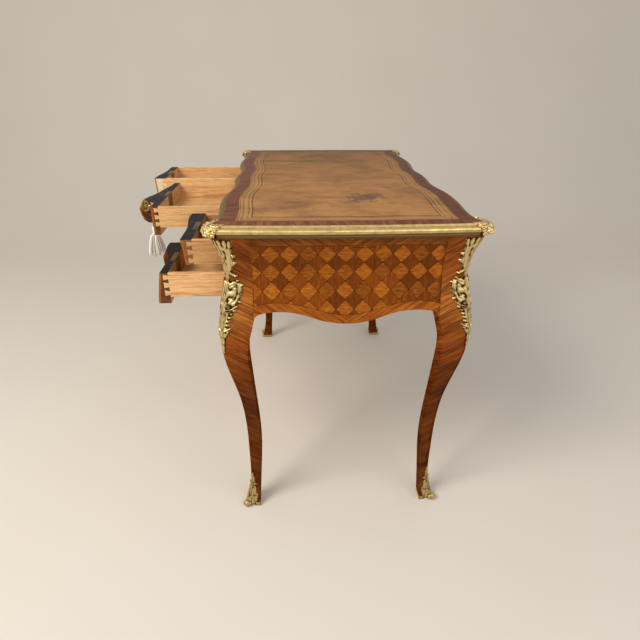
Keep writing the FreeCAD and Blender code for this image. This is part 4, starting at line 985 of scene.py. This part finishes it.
def chute_relief(across, up):
    """Height of the carving in millimetres, and how deep in a crevice it lies, as patina and
    painted shade.
    """
    height, hollow, edge = SUNK, 1.0, FAR
    for points, start, finish, stands in CHUTE_GROUND:
        if near_stroke(across, up, points, start, finish) < 1.0:
            height, hollow = max(height, stands), 0.6
    for points, start, finish, stands in CHUTE_STROKES:
        share = near_stroke(across, up, points, start, finish)
        edge = min(edge, share)
        if share < 1.0:
            here = stands * (0.2 + 0.8 * math.sqrt(1.0 - share * share))
            if here > height:
                height, hollow = here, share ** 2.2
    for x, z, radius, stands in CHUTE_BEADS:
        share = math.hypot(across - x, up - z) / radius
        edge = min(edge, share)
        if share < 1.0:
            here = stands * math.sqrt(1.0 - share * share)
            if here > height:
                height, hollow = here, share ** 4
    if height < 0.0 and edge < 1.45:
        height = WEB
    return height, hollow


class TABLE_OT_mounts(bpy.types.Operator):
    """Casts the knee mounts, the clasps and the shoes"""
    bl_idname = "table.mounts"
    bl_label = "Mounts"

    def execute(self, context):
        knee_gilt = gilded("gilt_carving", 0.34, 0.15, 0.2)
        shoe_gilt = gilded("gilt_shoe", 0.4, 0.15, 0.38)
        for corner, (side_x, side_y) in CORNERS.items():
            self.cast_chute(corner, side_x, side_y, knee_gilt)
            self.cast_shoe(corner, side_x, side_y, shoe_gilt)
        self.cast_clasps(gilded("gilt_clasp", 0.34, 0.15, 0.12))
        return {"FINISHED"}

    def cast_shoe(self, corner, side_x, side_y, finish):
        """Runs the leaf of a shoe into its toe and works upright veins into it."""
        node = "sabot_" + corner
        low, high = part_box(node)
        toe = Vector((high.x if side_x > 0 else low.x, high.y if side_y > 0 else low.y, 0.0))
        toe -= Vector((side_x, side_y, 0.0)) * TOE_INSET
        toe.z = TOE_RADIUS * TOE_HEIGHT
        block = copied(node)
        pad = bmesh.ops.create_uvsphere(block, u_segments=24, v_segments=16,
                                        radius=TOE_RADIUS)["verts"]
        bmesh.ops.scale(block, verts=pad, vec=(1.0, 1.0, TOE_HEIGHT))
        bmesh.ops.translate(block, verts=pad, vec=toe)
        mesh = evenly_meshed(block, sizes().casting_grid * 0.7)

        def veined(spot):
            place = Vector((abs(spot.x) / 0.006, abs(spot.y) / 0.006, spot.z / 0.03))
            vein = min(1.0, abs(noise.noise(place)) * 3.0)
            # Low places between the veins are darkened, as patina and as painted shade
            return 1.2 * MM * (vein - 0.8), 1.0 - 1.5 * vein

        carved(mesh, veined)
        piece("gilt_shoe_" + corner, mesh, [finish], node, 70.0)

    def cast_chute(self, corner, side_x, side_y, finish):
        """Lays a fine grid on the ridge of the leg and raises the carving from it."""
        skin = skin_of("leg_" + corner)
        outwards = Vector((side_x, side_y, 0.0)).normalized()
        sideways = Vector((side_x, -side_y, 0.0)).normalized()
        mesh = bmesh.new()
        bmesh.ops.create_grid(mesh, x_segments=CHUTE_GRID[0], y_segments=CHUTE_GRID[1], size=0.5)
        layer = mesh.verts.layers.float.new("hollow")
        rows = {}
        sunk = set()
        for vert in mesh.verts:
            offset = vert.co.x * 2 * CHUTE_HALF
            up = CHUTE_LOW + (vert.co.y + 0.5) * (CHUTE_HIGH - CHUTE_LOW)
            if up not in rows:
                rows[up] = self.ridge_at(skin, up * MM, side_x, side_y)
            height, hollow = chute_relief(abs(offset) * math.sqrt(2), up)
            ripple = noise.noise(Vector((abs(offset) / 5.0, up / 9.0, 0.0)))
            if height > 0.0:
                height = max(0.3, height + 0.9 * ripple)
                # Painted shade: low places of the ripple are darkened
                hollow = min(0.9, max(0.0, hollow + 0.12 - 0.9 * ripple))
            start = rows[up] + outwards * 50 * MM + sideways * (offset * MM)
            spot, normal = skin.ray_cast(start, -outwards)[:2]
            if spot is None:
                spot, normal, height = start - outwards * 70 * MM, outwards, SUNK
            if normal.dot(outwards) < 0.0:
                normal = -normal
            blend = min(1.0, max(0.0, (abs(offset) - 4.0) / 8.0))
            lift = (outwards * (1.0 - blend) + normal * blend).normalized()
            vert.co = spot + lift * (height * MM)
            vert[layer] = hollow
            if height < 0.0:
                sunk.add(vert)
        bmesh.ops.delete(mesh, geom=[face for face in mesh.faces if sunk.issuperset(face.verts)],
                         context="FACES")
        back = bmesh.ops.extrude_face_region(mesh, geom=mesh.faces[:], use_keep_orig=True)
        bmesh.ops.translate(mesh, verts=only_verts(back), vec=-outwards * CHUTE_WALL)
        bmesh.ops.recalc_face_normals(mesh, faces=mesh.faces)
        piece("carved_knee_mount_" + corner, mesh, [finish], "knee_mount_" + corner,
              60.0)

    def ridge_at(self, skin, up, side_x, side_y):
        """Where the two faces of a leg would meet at a height."""
        end = skin.ray_cast(Vector((OUTSIDE[0] * side_x, LEG_PLACE[1] * side_y, up)),
                            ALONG_X * -side_x)[0]
        front = skin.ray_cast(Vector((LEG_PLACE[0] * side_x, OUTSIDE[1] * side_y, up)),
                              ALONG_Y * -side_y)[0]
        return Vector((end.x, front.y, up))

    def cast_clasps(self, finish):
        """Works rocaille curls into a fine copy of one corner clasp and repeats it."""
        noise.seed_set(CURL_SEED)
        board = skin_of("top_board")
        block = copied("corner_mounts")
        bmesh.ops.delete(block, geom=[v for v in block.verts if v.co.x < 0 or v.co.y > 0],
                         context="VERTS")
        for place, facing in CLASP_CUTS:
            bmesh.ops.bisect_plane(block, geom=whole(block), dist=1e-7,
                                   plane_co=Vector(place) * MM,
                                   plane_no=Vector(facing).normalized(), clear_outer=True)
            closed(block)
        mesh = evenly_meshed(block, sizes().casting_grid * 0.8)
        cell, depth = sizes().carving_cell * 1.5, sizes().carving_depth * 2.2

        def curled(spot):
            place = Vector((abs(spot.x), abs(spot.y), spot.z * 1.5)) / cell
            curl = noise.noise_vector(place * 0.5) * 0.9
            lump = min(1.0, abs(noise.noise(place + curl)) * 2.4)
            fine = min(1.0, abs(noise.noise(place * 2.1 + curl)) * 2.4)
            rise = 0.7 * lump ** 0.7 + 0.3 * fine
            room = board.find_nearest(spot)[3]
            # Low places of the curls are darkened, as patina and as painted shade
            return max(depth * (rise - 0.98), -0.8 * room), 1.05 - 1.9 * rise

        carved(mesh, curled)
        mirrored(mesh)
        bmesh.ops.recalc_face_normals(mesh, faces=mesh.faces)
        piece("rocaille_clasps", mesh, [finish], "corner_mounts", 70.0)


class TABLE_OT_panels(bpy.types.Operator):
    """Lays the parquetry of the ends, the back and the kneehole"""
    bl_idname = "table.panels"
    bl_label = "Panels"

    def execute(self, context):
        ends = parquetry("parquetry_end", "Y", True)
        backs = parquetry("parquetry_back", "X")
        inner = oak("carcass_wood", "Z", "#7A5230", "#4A2E18")

        def outside(face):
            place = face.calc_center_median()
            return 0 if face.normal.x * place.x > 0.1 * abs(place.x) else 1

        for side in ("right", "left"):
            dressed("end_panel_" + side, "parquetry_end_" + side, [ends, inner], 0.0,
                    outside, 0.05)
            dressed("kneehole_side_" + side, "veneered_kneehole_" + side,
                    [parquetry("parquetry_kneehole_" + side, "Y")], sizes().edge_ease)
        for side in ("right", "left", "centre"):
            dressed("back_panel_" + side, "parquetry_back_" + side, [backs],
                    sizes().edge_ease, flat=0.05)
        return {"FINISHED"}


class TABLE_OT_carcass(bpy.types.Operator):
    """Finishes the rails, dividers, boards and guides"""
    bl_idname = "table.carcass"
    bl_label = "Carcass"

    def execute(self, context):
        rail = tulipwood_banding("banded_rail", colours().veneer_light, colours().veneer_dark, True)
        for node in ("top_rail_front", "top_rail_back", "mid_rails", "front_dividers"):
            dressed(node, "veneered_" + node, [rail], 0.5 * MM, flat=0.05)
        board = oak("carcass_board", "Y", "#B98A54", "#7F5428")
        for node in ("pedestal_boards_right", "pedestal_boards_left", "centre_board",
                     "drawer_guides"):
            dressed(node, "oak_" + node, [board], sizes().edge_ease)
        return {"FINISHED"}


# Drawer fronts, in metres: how far apart the levels of their carved faces are at least, the
# pitch of their grid, and the most that smoothing moves a point
LEVEL_GAP, FRONT_PITCH, FRONT_SHIFT = 0.002, 0.003, 0.003
# How near a front's veneer a point counts as on it, and two clearances from its edges
ON_VENEER, OFF_EDGE, OFF_END = 1e-5, 1e-4, 2e-4


def swelling_at(skin, levels, across, up):
    """Depth of a front's face at a height, as a smooth curve through its carved levels."""
    knots = []
    for level in levels:
        inside = min(max(level, levels[0] + OFF_EDGE), levels[-1] - OFF_EDGE)
        spot = skin.ray_cast(Vector((across, -1.0, inside)), ALONG_Y)[0]
        if spot:
            knots.append((level, spot.y))
    if len(knots) < 3 or not knots[0][0] <= up <= knots[-1][0]:
        return None
    index = max(i for i in range(len(knots) - 1) if knots[i][0] <= up)
    (z1, y1), (z2, y2) = knots[index], knots[index + 1]
    z0, y0 = knots[index - 1] if index else (2 * z1 - z2, 2 * y1 - y2)
    last = index + 2 >= len(knots)
    z3, y3 = (2 * z2 - z1, 2 * y2 - y1) if last else knots[index + 2]
    share = (up - z1) / (z2 - z1)
    slope_in = (y2 - y0) / (z2 - z0) * (z2 - z1)
    slope_out = (y3 - y1) / (z3 - z1) * (z2 - z1)
    square, cube = share ** 2, share ** 3
    return ((2 * cube - 3 * square + 1) * y1 + (cube - 2 * square + share) * slope_in
            + (3 * square - 2 * cube) * y2 + (cube - square) * slope_out)


def shaped_front(body, finishes, which):
    """A drawer front with its swelling made smooth and its face veneer seen along the edges."""
    node = body + "_front"
    mesh = copied(node, 0.0, 0.05)
    skin = BVHTree.FromBMesh(mesh)
    shown = mesh.copy()
    bmesh.ops.delete(shown, geom=[f for f in shown.faces if which(f) != 0], context="FACES")
    veneer = BVHTree.FromBMesh(shown)
    heights = sorted({round(v.co.z, 4) for v in shown.verts})
    levels = heights[:1] + [high for low, high in zip(heights, heights[1:])
                            if high - low > LEVEL_GAP]
    shown.free()
    low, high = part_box(node)
    for axis in (ALONG_Z, ALONG_Y):
        gridded(mesh, low, high, axis, FRONT_PITCH)
    layer = mesh.verts.layers.float.new("from_face")
    for face in mesh.faces:
        face.material_index = which(face)
    for vert in mesh.verts:
        vert[layer] = veneer.find_nearest(vert.co)[3]
        if vert[layer] < ON_VENEER and low.z + OFF_EDGE < vert.co.z < high.z - OFF_EDGE:
            inside = min(max(vert.co.x, low.x + OFF_END), high.x - OFF_END)
            smooth = swelling_at(skin, levels, inside, vert.co.z)
            if smooth is not None and abs(smooth - vert.co.y) < FRONT_SHIFT:
                vert.co.y = smooth
    piece(body + "_shaped_front", mesh, finishes, node, 30.0, body)


# End wood of each drawer front: light and dark of its grain. The left upper drawer's pale end is
# paler wood and painted light together
CORE_TONES = {
    "right_upper": ("#8A6844", "#4A321C"),
    "right_lower": ("#6A4A30", "#2E1C10"),
    "centre": ("#6A4A30", "#2E1C10"),
    "left_upper": ("#F0DCB8", "#C09A6C"),
    "left_lower": ("#553A22", "#241509"),
}


class TABLE_OT_drawers(bpy.types.Operator):
    """Finishes the five drawers: fronts, linings and locks"""
    bl_idname = "table.drawers"
    bl_label = "Drawers"

    def execute(self, context):
        face = tulipwood_banding("front_veneer", colours().veneer_light,
                                 colours().veneer_dark, True, DRY)
        ink = inked_edge()
        lining = oak("oak_lining", "Y", colours().oak_light, colours().oak_dark)
        cross = oak("oak_across", "X", colours().oak_light, colours().oak_dark)
        # Painted highlight: the left upper drawer's side tops get paler oak where light catches
        # them
        rims = {"left_upper": oak("oak_painted_highlight_edges", "Y", "#F6DDB0", "#DDB57E")}
        # The right upper drawer's sides are given darker oak
        walls = {"right_upper": oak("oak_darker", "Y", "#C99A68", "#A0703E")}
        brass = worn_brass("lock_brass", colours().lock)
        eased = sizes().edge_ease

        def which(side):
            if side.normal.z > 0.7:
                return 1
            if side.normal.y > 0.7:
                return 2
            return 3 if abs(side.normal.x) > 0.7 or side.normal.z < -0.7 else 0

        def on_rim(side):
            return 1 if side.normal.z > 0.7 else 0

        for name, (light, shade) in CORE_TONES.items():
            body = "drawer_" + name
            core = oak("core_" + name, "X", light, shade, True)
            shaped_front(body, [face, ink, cross, core], which)
            for part, finishes, ease in (
                    ("sides", [walls.get(name, lining), rims.get(name, lining)], eased),
                    ("back", [cross], eased), ("bottom", [lining], 0.0)):
                dressed(body + "_" + part, body + "_oak_" + part, finishes, ease,
                        on_rim if part == "sides" else None, body=body)
            dressed(body + "_lock", body + "_brass_lock", [brass], 0.3 * MM,
                    body=body)
        return {"FINISHED"}


class TABLE_OT_key(bpy.types.Operator):
    """Makes the key with its pierced bow"""
    bl_idname = "table.key"
    bl_label = "Key"

    def execute(self, context):
        brass = worn_brass("key_brass", colours().brass)
        dressed("key", "pierced_key", [brass], 0.4 * MM, body="key")
        return {"FINISHED"}


# Cord, in metres: its radius, the length of one turn of its twist, the heights over its knot at
# which its two runs leave and draw together, and the depths of its core inside the tassel
CORD_RADIUS, CORD_TWIST = 0.0013, 0.0075
CORD_RUNS, CORD_CORE = (0.018, 0.036), (0.018, 0.05, 0.068)
# Head of the tassel, in metres: radius of its ball, and the ball's and the neck's depth under
# its top; then the collar's lower and upper radius and its height
BALL, BALL_DEPTH, NECK_DEPTH = 0.0068, 0.0085, 0.022
COLLAR = (0.0056, 0.0052, 0.008)
# Threads leave the neck and reach the hem this far from the middle at most, in metres
THREAD_NECK, THREAD_HEM = 0.0045, 0.0268
# Angle that spreads the threads evenly, and the heights of a thread's rings as shares
GOLDEN_ANGLE = 2.399963
THREAD_SHARES = (0.0, 0.08, 0.2, 0.4, 0.65, 0.85, 1.0)


class TABLE_OT_tassel(bpy.types.Operator):
    """Hangs the silk tassel on its twisted cord"""
    bl_idname = "table.tassel"
    bl_label = "Tassel"

    def execute(self, context):
        low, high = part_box("tassel_cord")
        hang = Vector(((low.x + high.x) / 2, (low.y + high.y) / 2, 0.0))
        self.make_cord(hang, low, high, self.make_skirt(hang))
        return {"FINISHED"}

    def make_cord(self, hang, low, high, skirt):
        turn = (high.x - low.x) / 2 - CORD_RADIUS
        loop = high.z - CORD_RADIUS - turn
        run = [low.z, *(low.z + rise for rise in CORD_RUNS), loop, loop + turn]
        route = ([(-turn, z) for z in run] + [(turn, z) for z in reversed(run)]
                 + [(0.0, low.z - depth) for depth in CORD_CORE])
        curve = bpy.data.curves.new("cord_route", "CURVE")
        curve.dimensions = "3D"
        curve.resolution_u = 12
        spline = curve.splines.new("NURBS")
        spline.points.add(len(route) - 1)
        for point, (x, z) in zip(spline.points, route):
            point.co = (hang.x + x, hang.y, z, 1.0)
        spline.order_u = 3
        spline.use_endpoint_u = True
        path = [v.co.copy() for v in settled(placed("cord_route", curve)).vertices]
        mesh = bmesh.new()
        lot = mesh.verts.layers.float.new("thread")
        for strand in range(3):
            self.strand(mesh, lot, path, strand * 2 * math.pi / 3, CORD_RADIUS * 0.5)
        braid = spun_silk("braid_silk", colours().braid, "#5A2E12")
        cord = piece("twisted_cord", mesh, [braid], "tassel_cord", body="tassel")
        span = sum((b - a).length for a, b in zip(path, path[1:]))
        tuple(path[0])

    def strand(self, mesh, lot, path, start, radius):
        """One strand of the twist: a thin tube that winds about the path."""
        travelled = 0.0
        rings = []
        side = ALONG_Y
        for index, point in enumerate(path):
            before = path[max(0, index - 1)]
            after = path[min(len(path) - 1, index + 1)]
            cross = (after - before).normalized().cross(side)
            travelled += (point - before).length
            phase = start + travelled / CORD_TWIST * 2 * math.pi
            centre = point + (side * math.cos(phase) + cross * math.sin(phase)) * radius
            rings.append([])
            for corner in range(6):
                angle = corner * math.pi / 3
                vert = mesh.verts.new(centre + (side * math.cos(angle)
                                                + cross * math.sin(angle)) * radius)
                vert[lot] = 0.35 + 0.5 * (corner % 2)
                rings[-1].append(vert)
        lofted(mesh, rings)

    def make_skirt(self, hang):
        low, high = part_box("tassel")
        mesh = bmesh.new()
        lot = mesh.verts.layers.float.new("thread")
        random.seed(THREAD_SEED)
        neck = high.z - NECK_DEPTH
        ball = bmesh.ops.create_uvsphere(mesh, u_segments=24, v_segments=12, radius=BALL)["verts"]
        bmesh.ops.scale(mesh, verts=ball, vec=(1.0, 1.0, 1.3))
        bmesh.ops.translate(mesh, verts=ball, vec=hang + ALONG_Z * (high.z - BALL_DEPTH))
        for vert in ball:
            vert[lot] = 0.6 + 0.3 * math.sin(math.atan2(vert.co.y - hang.y, vert.co.x) * 24)
        lower, upper, tall = COLLAR
        collar = bmesh.ops.create_cone(mesh, cap_ends=True, segments=24, radius1=lower,
                                       radius2=upper, depth=tall)["verts"]
        bmesh.ops.translate(mesh, verts=collar, vec=hang + ALONG_Z * (neck + 3 * MM))
        for vert in collar:
            vert[lot] = 0.7
        for index in range(sizes().thread_count):
            depth = math.sqrt((index + 0.5) / sizes().thread_count)
            self.thread(mesh, lot, hang, neck, low.z, index * GOLDEN_ANGLE, depth)
        silk = spun_silk("tassel_silk", colours().silk, colours().silk_shade)
        return piece("silk_tassel", mesh, [silk], "tassel", body="tassel")

    def thread(self, mesh, lot, hang, neck, hem, angle, depth):
        """One thread that leaves the neck, swells at the shoulder and hangs to the hem."""
        # Painted shade: threads nearer the middle of the skirt get darker tones, besides a random
        # tone
        tone = random.uniform(0.0, 1.25) * (0.3 + 0.7 * depth)
        hem += random.uniform(0.0, 6 * MM)
        sway = random.uniform(-0.16, 0.16)
        rings = []
        for share in THREAD_SHARES:
            out = depth * (THREAD_NECK + (THREAD_HEM - THREAD_NECK) * share ** 0.42)
            turn = angle + sway * share + 0.05 * math.sin(share * 9 + angle * 3)
            centre = hang + turned(ALONG_X, turn) * out + ALONG_Z * (neck + (hem - neck) * share)
            radius = sizes().thread_radius * (1.0 if share < 1.0 else 0.6)
            rings.append([mesh.verts.new(centre + turned(ALONG_X, turn + corner * math.pi / 2)
                                         * radius) for corner in range(4)])
            for vert in rings[-1]:
                vert[lot] = tone
        lofted(mesh, rings[::-1])


class TABLE_PT_sidebar(bpy.types.Panel):
    """Lists the pieces of the table and its settings"""
    bl_idname = "TABLE_PT_sidebar"
    bl_label = "Writing table"
    bl_space_type = "VIEW_3D"
    bl_region_type = "UI"
    bl_category = "Table"

    def draw(self, context):
        for maker in MAKERS:
            self.layout.operator(maker.bl_idname)
        for settings in (context.scene.table_sizes, context.scene.table_colours):
            box = self.layout.box()
            for name in settings.__annotations__:
                box.prop(settings, name)


MAKERS = (TABLE_OT_stage, TABLE_OT_tassel, TABLE_OT_top, TABLE_OT_mouldings, TABLE_OT_mounts,
          TABLE_OT_legs, TABLE_OT_panels, TABLE_OT_carcass, TABLE_OT_drawers, TABLE_OT_key)
CLASSES = (TableColours, TableSizes, *MAKERS, TABLE_PT_sidebar)


def register():
    for item in CLASSES:
        bpy.utils.register_class(item)
    bpy.types.Scene.table_colours = bpy.props.PointerProperty(type=TableColours)
    bpy.types.Scene.table_sizes = bpy.props.PointerProperty(type=TableSizes)


def unregister():
    del bpy.types.Scene.table_sizes
    del bpy.types.Scene.table_colours
    for item in reversed(CLASSES):
        bpy.utils.unregister_class(item)


def main():
    register()
    for maker in MAKERS:
        group, name = maker.bl_idname.split(".")
        getattr(getattr(bpy.ops, group), name)()


if __name__ == "__main__":
    main()
